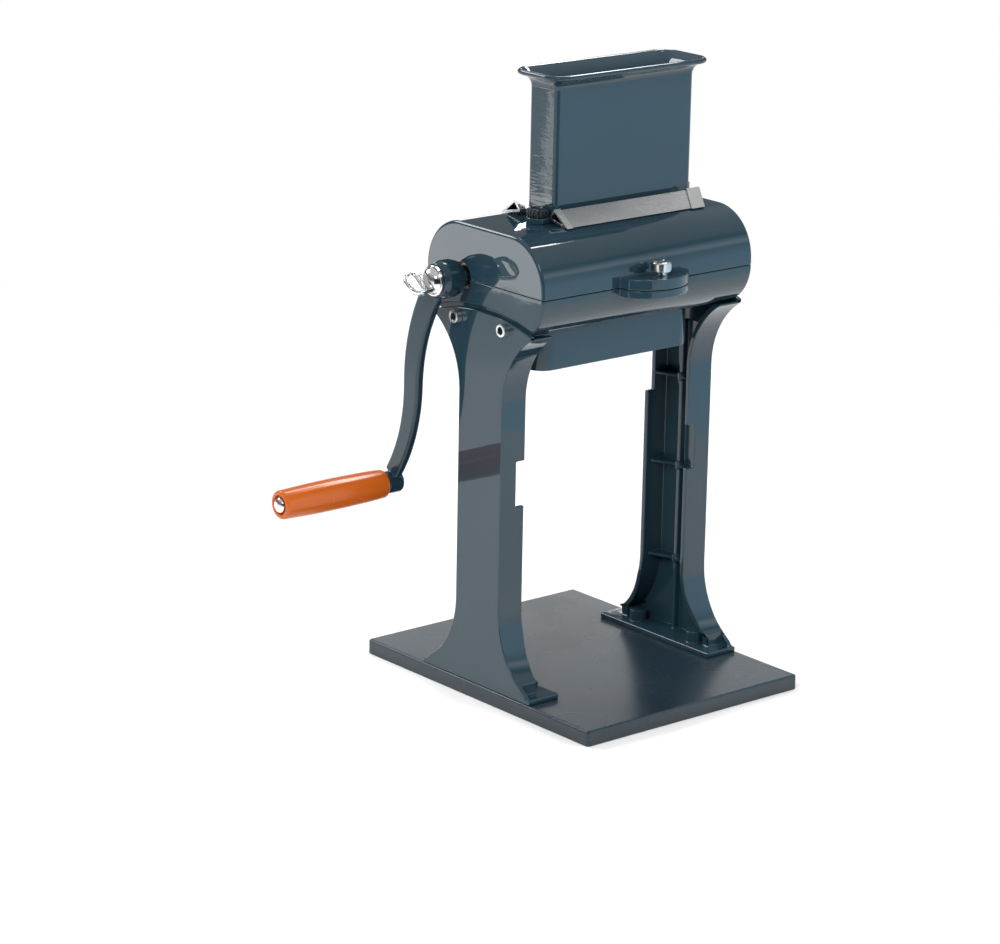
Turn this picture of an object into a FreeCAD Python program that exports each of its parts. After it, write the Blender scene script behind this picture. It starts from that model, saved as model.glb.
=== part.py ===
import FreeCAD, Part
import math
import os
from FreeCAD import Vector

os.makedirs("parts", exist_ok=True)

# Frame: millimetres, +Z up, X along the roller shafts with the crank on the -X side,
# -Y is the front.  The origin is the centre of the base board's underside.

# ---- driving dimensions ------------------------------------------------------
# base board
baseOverhang = 1.0
baseDepth = 265.0
baseThick = 12.0
baseCorner = 2.5
baseEdgeBevel = 1.0

# body: a lower housing and a cover that meet at the seam
bodyLength = 209.0
seamHeight = 324.5
seamGap = 0.3
bodyRoom = 9.0
coverRoom = 8.0
lowerRoom = 2.5
coverStraight = 4.5
castWall = 4.0
endEdgeBevel = 1.6

# throat that the meat drops through, set away from the gear end
throatLength = 128.0
throatWidth = 25.0
throatShift = 17.5
neckWall = 4.0
neckCorner = 4.3
throatCorner = 1.0
neckSpigot = 8.0
neckHeight = 98.1
flareRadius = 9.4
flareReach = 10.8
mouthRadius = 12.0
rimThick = 4.0
rimBevel = 1.2

# rollers
rollerPitch = 52.0
rollerRise = 1.5
bladeOverlap = 3.0
toothDepth = 3.5
bladeTeeth = 12
bladeCount = 22
bladePitch = 5.6
bladeThick = 1.6
hexAcross = 10.5
shaftRadius = 8.0
tailRadius = 5.2
shoulderRadius = 10.5
shoulderLength = 6.0
stackNutAcross = 18.0
stackNutLength = 6.0

# bushings and gears
bushRadius = 11.0
bushLength = 10.0
bushBossRadius = 15.0
runClear = 0.05
coverBushClear = 0.3
shaftHoleRadius = 10.0
gearTeeth = 20
gearWidth = 14.0
gearGap = 3.0
pressureAngle = 20.0
gearBacklash = 0.3
keySize = 4.0
dividerThick = 4.0
dividerGap = 9.0

# outlet chute under the rollers
chuteLength = 154.0
chuteDepth = 66.0
chuteCorner = 14.0
chuteDrop = 31.0

# lugs and thumb screws that hold the cover down
lugHalf = 30.0
lugReach = 25.0
lugStraight = 9.0
lowerLugClear = 0.3
coverLugClear = 0.6
coverLugThick = 8.5
lowerLugThick = 6.0
lugScrewReach = 11.5
thumbHeadRadius = 7.8
thumbHeadHeight = 7.5
thumbCollarRadius = 5.0
thumbCollarHeight = 3.0
thumbShankRadius = 2.5
thumbShankProud = 3.0

# legs: deep channels with a flared head and foot
legWeb = 4.0
legFlange = 4.0
legDepth = 23.4
legHalfWidth = 25.5
legOutset = 1.5
headDrop = 52.5
headFlare = 64.0
headHalf = 56.0
archGap = 3.6
archClear = 0.8
archRise = 17.1
archRadius = 192.0
saddleHalfAngle = math.radians(20)
legInnerRise = 2.7
footHalf = 63.5
footKneeHalf = 57.0
footKneeRise = 7.0
footCreaseHalf = 46.6
footPlateThick = 3.7
footPlateWidth = 29.5
footFlare = 65.3
footFlareTop = 75.0
notchLow = 156.0
notchHigh = 191.3
notchDepth = 8.0
rearStepHeight = 209.0
rearStepDepth = 6.5
rearStepTall = 35.0
legRibHeights = (73.0, 150.0, 222.0)
legRibThick = 2.5
legKeelHeight = 5.0
legKeelThick = 4.0
legKeelDrop = 22.0
legRibEdge = 18.0
pinBossRadius = 3.2
footTaperHeight = 62.0
footTaperDepth = 6.0

# screws
legScrewSpread = 27.5
legScrewRise = 5.2
capHeadRadius = 5.0
capHeadHeight = 5.2
capShankRadius = 3.0
capShankLength = 12.0
capSocketAcross = 5.0
capSocketDepth = 3.0
capBossWall = 1.5
baseScrewInset = 16.0
baseScrewY = 33.0
baseScrewHead = 6.4
baseScrewHeadHeight = 3.4
baseScrewShank = 3.0
baseScrewSink = 0.3
baseScrewClear = 0.3
footBossRadius = 7.0
footBossHeight = 9.0
baseScrewTip = 2.0
hopperLugHalf = 8.8
hopperLugThick = 4.5
hopperScrewReach = 9.0
hopperScrewOffset = 7.0
hopperKnobRadius = 8.5
hopperKnobHeight = 6.7

# combs that strip the meat off the blades
combSheet = 1.2
combClear = 0.3
tineClear = 0.6
tineDrop = 25.0
combRootLift = 1.5
tentInnerRise = 4.2
tentApexRise = 11.3
tentApexReach = 6.1
tentReach = 20.1
tentFootRise = 0.4
tentSheet = 1.1
tentLeft = 74.5
tentRight = 59.5
clipLong = 13.5
clipShort = 6.0
clipSheet = 0.8
clipClear = 0.02
clipOverlap = 2.0

# crank
crankDrop = 168.0
crankBack = 52.0
armWaistBack = 28.5
armWaistDrop = 86.0
hubLength = 20.0
hubMidRadius = 14.4
hubEndRadius = 12.6
hubGap = 5.5
squareDrive = 11.0
armThick = 7.0
armTopWidth = 20.5
armLowWidth = 13.5
armEdgeBevel = 1.2
armTopShift = 4.0
armTopDrop = 7.0
armLowRise = 7.0
bossBevel = 0.8
bossEndBevel = 1.5
bossProud = 6.0
crankBossRadius = 8.8
crankBossLength = 15.0
gripLength = 97.8
gripEndRadius = 11.2
gripMidRadius = 12.3
gripEndRound = 2.5
gripBoltRadius = 4.0
boltTipClear = 3.0
boltTipShort = 4.0
gripGap = 0.5
faceGap = 0.3
gripRecessRadius = 7.4
gripRecessDepth = 2.2
boltHeadRadius = 6.0
boltHeadHeight = 4.6
boltHeadLift = 0.3

# wing screw in the end of the shaft
wingFlangeRadius = 11.6
wingFlangeLength = 2.6
wingConeLength = 9.0
wingNeckRadius = 6.5
wingTabLength = 17.0
wingTabHalf = 11.0
wingTabThick = 4.0
wingHoleHalf = 3.2
wingHoleReach = 5.5
wingTilt = 38.0
wingShank = 3.0
wingShankLength = 14.0
wingTipClear = 3.0

# ---- values worked out from them --------------------------------------------
halfLength = bodyLength / 2
rollerZ = seamHeight + rollerRise
rollerY = rollerPitch / 2
bladeRadius = rollerPitch / 2 + bladeOverlap
bladeRoot = bladeRadius - toothDepth
halfDepth = rollerY + bladeRadius + bodyRoom + castWall
coverRise = rollerRise + bladeRadius + coverRoom + castWall
coverCorner = coverRise - coverStraight
coverTop = seamHeight + coverRise
lowerCorner = bladeRadius - rollerRise + lowerRoom + castWall
floorBottom = seamHeight - lowerCorner
chuteBottom = floorBottom - chuteDrop
neckLength = throatLength + 2 * neckWall
neckWidth = throatWidth + 2 * neckWall
neckTop = coverTop + neckHeight
flangeBase = neckTop + flareRadius
hopperTop = flangeBase + rimThick
saddleX = halfLength + legOutset - legWeb
legOuterX = halfLength + legOutset
innerEndX = halfLength - castWall
halfPitch = bladePitch / 2
stackStart = throatShift - (bladeCount + 0.5) * bladePitch / 2
stackEnd = stackStart + bladeCount * bladePitch
bushFaceX = innerEndX - bushLength
gearStart = -bushFaceX + gearGap
dividerX = throatShift - neckLength / 2 - dividerGap
combY = neckWidth / 2 + combClear
slotHalfWidth = combY + combSheet + combClear
spacerRadius = rollerY - slotHalfWidth
tineWidth = bladePitch - bladeThick - 2 * tineClear
tineBottom = rollerZ - tineDrop
clipStart = throatShift + tentRight - clipOverlap
baseLength = 2 * (legOuterX + baseOverhang)
baseScrewX = legOuterX - baseScrewInset
headStart = floorBottom - headDrop
archCrown = floorBottom + archRise
legTopArch = archCrown - archGap
legScrewHeight = floorBottom + legScrewRise
crankY = rollerY + crankBack
crankZ = rollerZ - crankDrop
hubInnerX = -(halfLength + hubGap)
hubOuterX = hubInnerX - hubLength
armOuterX = hubOuterX
bossStart = armOuterX - bossProud
bossEnd = bossStart + crankBossLength
screwY = halfDepth + lugScrewReach
gearModule = rollerPitch / gearTeeth


# ---- small helpers -----------------------------------------------------------
def box(x0, x1, y0, y1, z0, z1):
    return Part.makeBox(x1 - x0, y1 - y0, z1 - z0, Vector(x0, y0, z0))


def rodX(radius, x0, x1, y, z):
    return Part.makeCylinder(radius, x1 - x0, Vector(x0, y, z), Vector(1, 0, 0))


def rodZ(radius, x, y, z0, z1):
    return Part.makeCylinder(radius, z1 - z0, Vector(x, y, z0), Vector(0, 0, 1))


def hexX(across, x0, x1, y, z):
    radius = across / math.sqrt(3)
    ring = [Vector(x0, y + radius * math.cos(math.radians(60 * k)),
                   z + radius * math.sin(math.radians(60 * k))) for k in range(7)]
    return Part.Face(Part.makePolygon(ring)).extrude(Vector(x1 - x0, 0, 0))


def pathEdges(start, steps, place):
    # a step of two numbers is a line to that point; of four, an arc through the first pair
    edges = []
    here = start
    for step in steps:
        there = step[-2:]
        if len(step) == 2:
            edges.append(Part.LineSegment(place(*here), place(*there)).toShape())
        else:
            edges.append(Part.Arc(place(*here), place(*step[:2]), place(*there)).toShape())
        here = there
    return edges


def slabX(start, steps, x0, x1):
    # closed outline in the YZ plane, pushed out along X
    edges = pathEdges(start, steps + [start], lambda y, z: Vector(x0, y, z))
    return Part.Face(Part.Wire(edges)).extrude(Vector(x1 - x0, 0, 0))


def slabZ(start, steps, z0, z1):
    edges = pathEdges(start, steps + [start], lambda x, y: Vector(x, y, z0))
    return Part.Face(Part.Wire(edges)).extrude(Vector(0, 0, z1 - z0))


def spunX(points, y, z):
    # (x, radius) points turned about an X axis through y, z
    ring = [Vector(x, y + r, z) for x, r in points]
    face = Part.Face(Part.makePolygon(ring + [ring[0]]))
    return face.revolve(Vector(0, y, z), Vector(1, 0, 0), 360)


def spunZ(points, x, y):
    ring = [Vector(x + r, y, z) for r, z in points]
    face = Part.Face(Part.makePolygon(ring + [ring[0]]))
    return face.revolve(Vector(x, y, 0), Vector(0, 0, 1), 360)


def roundedRing(length, width, corner, cx, z):
    a = length / 2
    b = width / 2
    k = corner * (1 - math.sqrt(0.5))
    steps = [(cx + a - corner, -b), (cx + a - k, -b + k, cx + a, -b + corner),
             (cx + a, b - corner), (cx + a - k, b - k, cx + a - corner, b),
             (cx - a + corner, b), (cx - a + k, b - k, cx - a, b - corner),
             (cx - a, -b + corner), (cx - a + k, -b + k, cx - a + corner, -b)]
    edges = pathEdges((cx - a + corner, -b), steps, lambda x, y: Vector(x, y, z))
    return Part.Wire(edges)


def roundedBlock(length, width, corner, cx, z0, z1):
    face = Part.Face(roundedRing(length, width, corner, cx, z0))
    return face.extrude(Vector(0, 0, z1 - z0))


def fused(shapes):
    whole = shapes[0]
    for shape in shapes[1:]:
        whole = whole.fuse(shape)
    return whole.removeSplitter()


def cutAway(shape, tools):
    for tool in tools:
        shape = shape.cut(tool)
    return shape


def mirroredX(shape):
    return shape.mirror(Vector(0, 0, 0), Vector(1, 0, 0))


def mirroredY(shape):
    return shape.mirror(Vector(0, 0, 0), Vector(0, 1, 0))


def save(node, shapes):
    if not isinstance(shapes, list):
        shapes = [shapes]
    solids = [s for shape in shapes for s in shape.Solids]
    whole = solids[0] if len(solids) == 1 else Part.makeCompound(solids)
    if not all(s.isValid() for s in solids):
        print("not valid:", node)
    whole.exportStep("parts/" + node + ".step")
    print(node, len(solids), round(sum(s.Volume for s in solids)))


# ---- body castings -----------------------------------------------------------
def upperOutline(inset):
    # half-round shoulders of the cover, from the seam up
    half = halfDepth - inset
    radius = coverCorner - inset
    top = coverTop - inset
    knee = top - radius
    flat = half - radius
    k = radius * math.sqrt(0.5)
    return ((-half, seamHeight), [(-half, knee), (-flat - k, knee + k, -flat, top), (flat, top),
                                  (flat + k, knee + k, half, knee), (half, seamHeight)])


def lowerOutline(inset):
    half = halfDepth - inset
    radius = lowerCorner - inset
    flat = half - radius
    k = radius * math.sqrt(0.5)
    floor = seamHeight - radius
    return ((half, seamHeight), [(flat + k, seamHeight - k, flat, floor), (-flat, floor),
                                 (-flat - k, seamHeight - k, -half, seamHeight)])


def bevelEnds(shape):
    # soften the rim where the outer skin meets the two end faces, but not along the seam
    edges = []
    for edge in shape.Edges:
        b = edge.BoundBox
        atEnd = b.XMax - b.XMin < 1e-4 and abs(abs(b.XMin) - halfLength) < 1e-4
        onSeam = b.ZMax - b.ZMin < 1e-4 and abs(b.ZMin - seamHeight) < 1e-4
        if atEnd and not onSeam:
            edges.append(edge)
    return shape.makeChamfer(endEdgeBevel, edges)


def lugPlate(side, z0, z1):
    # D-shaped shelf that stands out of the front (side -1) or the rear (side 1)
    root = side * (halfDepth - castWall / 2)
    bend = side * (halfDepth + lugStraight)
    tip = side * (halfDepth + lugReach)
    steps = [(-lugHalf, bend), (0, tip, lugHalf, bend), (lugHalf, root)]
    return slabZ((-lugHalf, root), steps, z0, z1)


def bearingBosses(z0, z1):
    bosses = []
    for y in (-rollerY, rollerY):
        for x0, x1 in ((-innerEndX - 0.5, -bushFaceX), (bushFaceX, innerEndX + 0.5)):
            boss = rodX(bushBossRadius, x0, x1, y, rollerZ)
            bosses.append(boss.common(box(-halfLength, halfLength, -halfDepth, halfDepth, z0, z1)))
    return bosses


def divider(outline):
    # cast wall that keeps meat out of the gears
    start, steps = outline(castWall / 2)
    return slabX(start, steps, dividerX - dividerThick, dividerX)


def lowerDivider():
    # the wall drops through the chute, and a floor on its gear side closes that cell
    skin = roundedBlock(chuteLength - castWall, chuteDepth - castWall, chuteCorner - castWall / 2,
                        0, chuteBottom, seamHeight - castWall)
    half = chuteDepth / 2
    cell = box(-chuteLength / 2, dividerX, -half, half, chuteBottom, chuteBottom + castWall)
    drop = box(dividerX - dividerThick, dividerX, -half, half, chuteBottom, seamHeight - castWall)
    return fused([divider(lowerOutline), drop.common(skin), cell.common(skin)])


def shaftOpenings(clear, openDown):
    # bores for the bushings, the divider and the drive shaft, which the cover drops over
    places = [(rollerY, shaftHoleRadius, -halfLength - 1, -innerEndX + 1)]
    for y in (-rollerY, rollerY):
        places.append((y, bushRadius, -innerEndX, -bushFaceX + 1))
        places.append((y, bushRadius, bushFaceX - 1, innerEndX))
        places.append((y, shaftHoleRadius, dividerX - dividerThick - 1, dividerX + 1))
    tools = []
    for y, radius, x0, x1 in places:
        reach = radius + clear
        tools.append(rodX(reach, x0, x1, y, rollerZ))
        if openDown:
            tools.append(box(x0, x1, y - reach, y + reach, seamHeight - 1, rollerZ))
    return tools


def legScrewRods(radius, depth, proud):
    # rods at the four leg screws, from inside the housing to just outside the saddles
    rods = []
    for side in (-1, 1):
        for y in (-legScrewSpread, legScrewSpread):
            x0, x1 = sorted((side * (saddleX - depth), side * (saddleX + proud)))
            rods.append(rodX(radius, x0, x1, y, legScrewHeight))
    return rods


def saddles():
    # arched recesses that the heads of the legs sit in
    springZ = archCrown - archRadius * (1 - math.cos(saddleHalfAngle))
    springY = archRadius * math.sin(saddleHalfAngle)
    low = floorBottom - castWall
    steps = [(0, archCrown, springY, springZ), (springY, low), (-springY, low)]
    return [slabX((-springY, springZ), steps, x0, x1)
            for x0, x1 in ((-halfLength - 1, -saddleX), (saddleX, halfLength + 1))]


def makeLowerHousing():
    start, steps = lowerOutline(0)
    shell = bevelEnds(slabX(start, steps, -halfLength, halfLength))
    chute = roundedBlock(chuteLength, chuteDepth, chuteCorner, 0, chuteBottom, floorBottom + castWall)
    start, steps = lowerOutline(castWall)
    hollow = slabX(start, steps, -innerEndX, innerEndX)
    outlet = roundedBlock(chuteLength - 2 * castWall, chuteDepth - 2 * castWall, chuteCorner - castWall,
                          0, chuteBottom - 1, seamHeight - castWall)
    shell = cutAway(shell.fuse(chute), [hollow, outlet])
    lugs = [lugPlate(side, seamHeight - lowerLugThick, seamHeight).cut(hollow) for side in (-1, 1)]
    screwBosses = legScrewRods(capShankRadius + capBossWall * 2, capShankLength + capBossWall, 0)
    shell = fused([shell, lowerDivider()] + lugs + bearingBosses(floorBottom, seamHeight) + screwBosses)
    tools = shaftOpenings(0, False) + saddles()
    tools += legScrewRods(capShankRadius + runClear, capShankLength, 1)
    for side in (-1, 1):
        tools.append(rodZ(thumbShankRadius + lowerLugClear, 0, side * screwY,
                          seamHeight - lowerLugThick - 1, seamHeight + 1))
    return cutAway(shell, tools)


def hopperScrewPlace(side):
    # the two knobs stand diagonally: one towards the front, the other towards the rear
    return throatShift + side * (neckLength / 2 + hopperScrewReach), side * hopperScrewOffset


def makeCover():
    start, steps = upperOutline(0)
    shell = bevelEnds(slabX(start, steps, -halfLength, halfLength))
    start, steps = upperOutline(castWall)
    hollow = slabX(start, steps, -innerEndX, innerEndX)
    lugs = [lugPlate(side, seamHeight, seamHeight + coverLugThick).cut(hollow) for side in (-1, 1)]
    bosses = bearingBosses(seamHeight, coverTop)
    shell = fused([shell.cut(hollow), divider(upperOutline)] + lugs + bosses)
    slotStart = throatShift - neckLength / 2 - combClear
    slotEnd = throatShift + neckLength / 2 + combClear
    slotBottom = coverTop - max(neckSpigot, castWall) - 1
    tools = shaftOpenings(coverBushClear, True)
    tools.append(box(-halfLength - 1, halfLength + 1, -halfDepth - lugReach, halfDepth + lugReach,
                     seamHeight - 1, seamHeight + seamGap))
    tools.append(box(slotStart, slotEnd, -slotHalfWidth, slotHalfWidth, slotBottom, coverTop + 1))
    for side in (-1, 1):
        tools.append(rodZ(thumbShankRadius + coverLugClear, 0, side * screwY,
                          seamHeight - 1, seamHeight + coverLugThick + 1))
        x, y = hopperScrewPlace(side)
        tools.append(rodZ(capShankRadius + runClear, x, y, coverTop - castWall - 1, coverTop + 1))
    return cutAway(shell, tools)


def levelEdges(shape, z, length, width):
    # edges at one height that lie on or inside a rectangle centred on the throat
    found = []
    for edge in shape.Edges:
        b = edge.BoundBox
        flat = abs(b.ZMax - z) < 1e-4 and abs(b.ZMin - z) < 1e-4
        reach = max(abs(b.XMin - throatShift), abs(b.XMax - throatShift))
        if flat and reach < length / 2 + 0.01 and max(abs(b.YMin), abs(b.YMax)) < width / 2 + 0.01:
            found.append(edge)
    return found


def makeHopper():
    # a straight neck that rolls outwards, by a quarter round, into a thick rim
    rimLength = neckLength + 2 * flareReach
    rimWidth = neckWidth + 2 * flareReach
    neck = roundedBlock(neckLength, neckWidth, neckCorner, throatShift, coverTop - neckSpigot, hopperTop)
    rim = roundedBlock(rimLength, rimWidth, neckCorner + flareReach, throatShift, flangeBase, hopperTop)
    rim = rim.makeChamfer(rimBevel, [e for e in rim.Edges if e.BoundBox.ZMax - e.BoundBox.ZMin < 1e-6])
    hopper = neck.fuse(rim).removeSplitter()
    hopper = hopper.makeFillet(flareRadius, levelEdges(hopper, flangeBase, neckLength, neckWidth))
    throat = roundedBlock(throatLength, throatWidth, throatCorner, throatShift,
                          coverTop - neckSpigot - 1, hopperTop + 1)
    hopper = hopper.cut(throat)
    mouth = levelEdges(hopper, hopperTop, throatLength, throatWidth)
    hopper = hopper.makeFillet(mouthRadius, mouth)
    pieces = [hopper]
    holes = []
    for side in (-1, 1):
        # rounded lug at the foot of each narrow side, for the knob's shank
        x, y = hopperScrewPlace(side)
        x0, x1 = sorted((throatShift + side * (neckLength / 2 - neckWall / 2), x))
        top = coverTop + hopperLugThick
        pieces.append(box(x0, x1, y - hopperLugHalf, y + hopperLugHalf, coverTop, top))
        pieces.append(rodZ(hopperLugHalf, x, y, coverTop, top))
        holes.append(rodZ(capShankRadius + runClear, x, y, coverTop - 1, top + 1))
    return cutAway(fused(pieces), holes)


def makeHopperKnob(side):
    x, y = hopperScrewPlace(side)
    top = coverTop + hopperLugThick
    profile = [(0, coverTop - castWall), (capShankRadius, coverTop - castWall), (capShankRadius, top),
               (hopperKnobRadius, top), (hopperKnobRadius, top + hopperKnobHeight),
               (0, top + hopperKnobHeight)]
    return spunZ(profile, x, y)


def makeThumbScrew(side):
    # knurled head, a collar under it and a shank that reaches through both lugs
    z0 = seamHeight + coverLugThick
    z1 = z0 + thumbCollarHeight
    z2 = z1 + thumbHeadHeight
    low = seamHeight - lowerLugThick - thumbShankProud
    profile = [(0, low), (thumbShankRadius, low), (thumbShankRadius, z0), (thumbCollarRadius, z0),
               (thumbCollarRadius, z1), (thumbHeadRadius, z1), (thumbHeadRadius, z2), (0, z2)]
    return spunZ(profile, 0, side * screwY)


# ---- rollers -----------------------------------------------------------------
def makeBushings():
    rings = []
    for y in (-rollerY, rollerY):
        for x0, x1, bore in ((-innerEndX, -bushFaceX, shaftRadius), (bushFaceX, innerEndX, tailRadius)):
            ring = rodX(bushRadius - 0.02, x0, x1, y, rollerZ)
            rings.append(ring.cut(rodX(bore + runClear, x0 - 1, x1 + 1, y, rollerZ)))
    return rings


def makeShaft(y, leftEnd, shift):
    # shift is half a pitch on the idle roller, so that its blades pass between the driven ones
    start = stackStart - shoulderLength
    parts = [rodX(shaftRadius, leftEnd, start, y, rollerZ),
             rodX(shoulderRadius, start, stackStart + shift, y, rollerZ),
             hexX(hexAcross, stackStart + shift, stackEnd + shift, y, rollerZ),
             rodX(tailRadius, stackEnd + shift, innerEndX - faceGap, y, rollerZ)]
    shaft = fused(parts)
    keyTop = rollerZ + shaftRadius
    key = box(gearStart, gearStart + gearWidth, y - keySize / 2, y + keySize / 2,
              keyTop - keySize / 2, keyTop + keySize)
    return shaft.cut(key)


def makeDriveShaft():
    shaft = makeShaft(rollerY, hubInnerX, 0.0)
    half = squareDrive / 2
    end = box(hubOuterX + 0.5, hubInnerX, rollerY - half, rollerY + half, rollerZ - half, rollerZ + half)
    shaft = fused([shaft, end])
    tip = hubOuterX + wingShankLength + wingTipClear
    return shaft.cut(rodX(wingShank + runClear, hubOuterX - 1, tip, rollerY, rollerZ))


def hexBore(x0, x1, y):
    # clears the hexagon of the shaft
    return hexX(hexAcross + 2 * runClear, x0 - 1, x1 + 1, y, rollerZ)


def toothedDisc(x, y, turn):
    points = []
    for k in range(bladeTeeth):
        for radius, step in ((bladeRadius, 0.0), (bladeRoot, 0.5)):
            angle = 2 * math.pi * (k + step + turn) / bladeTeeth
            points.append(Vector(x, y + radius * math.cos(angle), rollerZ + radius * math.sin(angle)))
    disc = Part.Face(Part.makePolygon(points + [points[0]])).extrude(Vector(bladeThick, 0, 0))
    return disc.cut(hexBore(x, x + bladeThick, y))


def hexSpacer(x, y):
    # keeps one disc from the next
    length = bladePitch - bladeThick
    return hexX(spacerRadius * math.sqrt(3), x, x + length, y, rollerZ).cut(hexBore(x, x + length, y))


def bladeX(index, shift):
    return stackStart + index * bladePitch + shift


def makeBlades(y, shift):
    # every second disc is turned by half a tooth
    return [toothedDisc(bladeX(k, shift), y, 0.5 * (k % 2)) for k in range(bladeCount)]


def makeSpacers(y, shift):
    return [hexSpacer(bladeX(k, shift) + bladeThick, y) for k in range(bladeCount)]


def makeStackNut(y, shift):
    start = stackEnd + shift
    nut = hexX(stackNutAcross, start, start + stackNutLength, y, rollerZ)
    return nut.cut(rodX(tailRadius + 0.02, start - 1, start + stackNutLength + 1, y, rollerZ))


def gearOutline(y, turn):
    # involute flanks between the root and the tip, thinned a little for backlash
    pitchRadius = gearModule * gearTeeth / 2
    baseRadius = pitchRadius * math.cos(math.radians(pressureAngle))
    tip = pitchRadius + 0.9 * gearModule
    root = pitchRadius - 1.2 * gearModule

    def spread(radius):
        # angle that the involute has unwound at this radius
        tangent = math.sqrt(max((radius / baseRadius) ** 2 - 1, 0))
        return tangent - math.atan(tangent)

    halfTooth = math.pi / (2 * gearTeeth) - gearBacklash / (2 * pitchRadius)
    radii = [root, pitchRadius, tip]
    points = []
    for k in range(gearTeeth):
        middle = 2 * math.pi * (k + turn) / gearTeeth
        halves = [halfTooth + spread(pitchRadius) - spread(r) for r in radii]
        for r, half in zip(radii, halves):
            points.append((r, middle - half))
        for r, half in reversed(list(zip(radii, halves))):
            points.append((r, middle + half))
    return [Vector(gearStart, y + r * math.cos(a), rollerZ + r * math.sin(a)) for r, a in points]


def makeGear(y, turn):
    points = gearOutline(y, turn)
    gear = Part.Face(Part.makePolygon(points + [points[0]])).extrude(Vector(gearWidth, 0, 0))
    keyTop = rollerZ + shaftRadius
    half = keySize / 2 + 0.02
    keyway = box(gearStart - 1, gearStart + gearWidth + 1, y - half, y + half, rollerZ, keyTop + half)
    bore = rodX(shaftRadius + 0.02, gearStart - 1, gearStart + gearWidth + 1, y, rollerZ)
    return gear.cut(bore.fuse(keyway))


def makeGearKey(y):
    keyTop = rollerZ + shaftRadius
    half = keySize / 2
    return box(gearStart, gearStart + gearWidth, y - half, y + half, keyTop - half, keyTop + half)


# ---- combs -------------------------------------------------------------------
def railCorners():
    # section of the folded rail: its inner corner, apex and foot
    return [(combY, coverTop + tentInnerRise), (combY + tentApexReach, coverTop + tentApexRise),
            (combY + tentReach, coverTop + tentFootRise)]


def movedIn(corners, distance):
    # scaled about the incentre, so that each side of the triangle moves in by the same distance
    a, b, c = corners
    sides = [math.dist(b, c), math.dist(c, a), math.dist(a, b)]
    total = sum(sides)
    centreY = sum(side * corner[0] for side, corner in zip(sides, corners)) / total
    centreZ = sum(side * corner[1] for side, corner in zip(sides, corners)) / total
    area = abs((b[0] - a[0]) * (c[1] - a[1]) - (c[0] - a[0]) * (b[1] - a[1])) / 2
    scale = 1 - distance * total / (2 * area)
    return [(centreY + (y - centreY) * scale, centreZ + (z - centreZ) * scale) for y, z in corners]


def tentSlab(distance, x0, x1):
    corners = movedIn(railCorners(), distance)
    return slabX(corners[0], corners[1:], x0, x1)


def makeComb(side, shift):
    x0 = throatShift - throatLength / 2
    x1 = throatShift + throatLength / 2
    outer = combY + combSheet
    plateTop = coverTop + tentInnerRise
    sheet = box(x0, x1, combY, outer, tineBottom, plateTop)
    # level with the blades only the tines are left, one between each blade and the next
    root = rollerZ + math.sqrt(bladeRadius ** 2 - (rollerY - outer) ** 2) + combRootLift
    gapEnds = [x0 - 1]
    for k in range(bladeCount):
        middle = bladeX(k, shift) + (bladeThick + bladePitch) / 2
        gapEnds += [middle - tineWidth / 2, middle + tineWidth / 2]
    gapEnds.append(x1 + 1)
    tools = []
    for a, b in zip(gapEnds[::2], gapEnds[1::2]):
        tools.append(box(a, b, combY - 1, outer + 1, tineBottom - 1, root))
    # above the cover the sheet stops short of the clip at the end of its rail
    tools.append(box(clipStart - combClear, x1 + 1, combY - 1, outer + 1, coverTop + faceGap, plateTop + 1))
    railStart = throatShift - tentLeft
    railEnd = throatShift + tentRight
    rail = tentSlab(0, railStart, railEnd).cut(tentSlab(tentSheet, railStart - 1, railEnd + 1))
    comb = fused([cutAway(sheet, tools), rail])
    return comb if side > 0 else mirroredY(comb)


def makeCombClips(side):
    # bands of thin sheet folded over the ends of the rail
    bands = []
    for x0, length in ((throatShift - tentLeft, clipShort), (clipStart, clipLong)):
        x1 = x0 + length
        band = tentSlab(-clipSheet - clipClear, x0, x1).cut(tentSlab(-clipClear, x0 - 1, x1 + 1))
        below = box(x0 - 1, x1 + 1, 0, halfDepth, coverTop - castWall, coverTop + faceGap)
        behind = box(x0 - 1, x1 + 1, 0, combY - combClear / 2, coverTop, coverTop + 2 * tentApexRise)
        bands.append(max(cutAway(band, [below, behind]).Solids, key=lambda solid: solid.Volume))
    return bands if side > 0 else [mirroredY(band) for band in bands]


# ---- crank -------------------------------------------------------------------
def armEdge(side):
    # one long edge of the arm: an arc from the hub to the upright waist, then one on to the grip boss
    waistY = rollerY + armWaistBack
    waistZ = rollerZ - armWaistDrop
    waistWidth = (armTopWidth + armLowWidth) / 2
    top = (rollerY + armTopShift, rollerZ - armTopDrop, armTopWidth, (1, 0.5, 0))
    low = (crankY, crankZ + armLowRise, armLowWidth, (0.5, 1))
    edge = []
    for endY, endZ, endWidth, shares in (top, low):
        across = math.copysign(1, endY - waistY)
        upward = math.copysign(1, endZ - waistZ)
        dy = abs(endY - waistY)
        dz = abs(endZ - waistZ)
        radius = (dy ** 2 + dz ** 2) / (2 * dy)
        for share in shares:
            turn = share * math.asin(dz / radius)
            half = side * (waistWidth + (endWidth - waistWidth) * share) / 2
            y = waistY + across * radius * (1 - math.cos(turn)) + half * math.cos(turn)
            z = waistZ + upward * (radius - across * half) * math.sin(turn)
            edge.append((y, z))
    return edge


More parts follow.
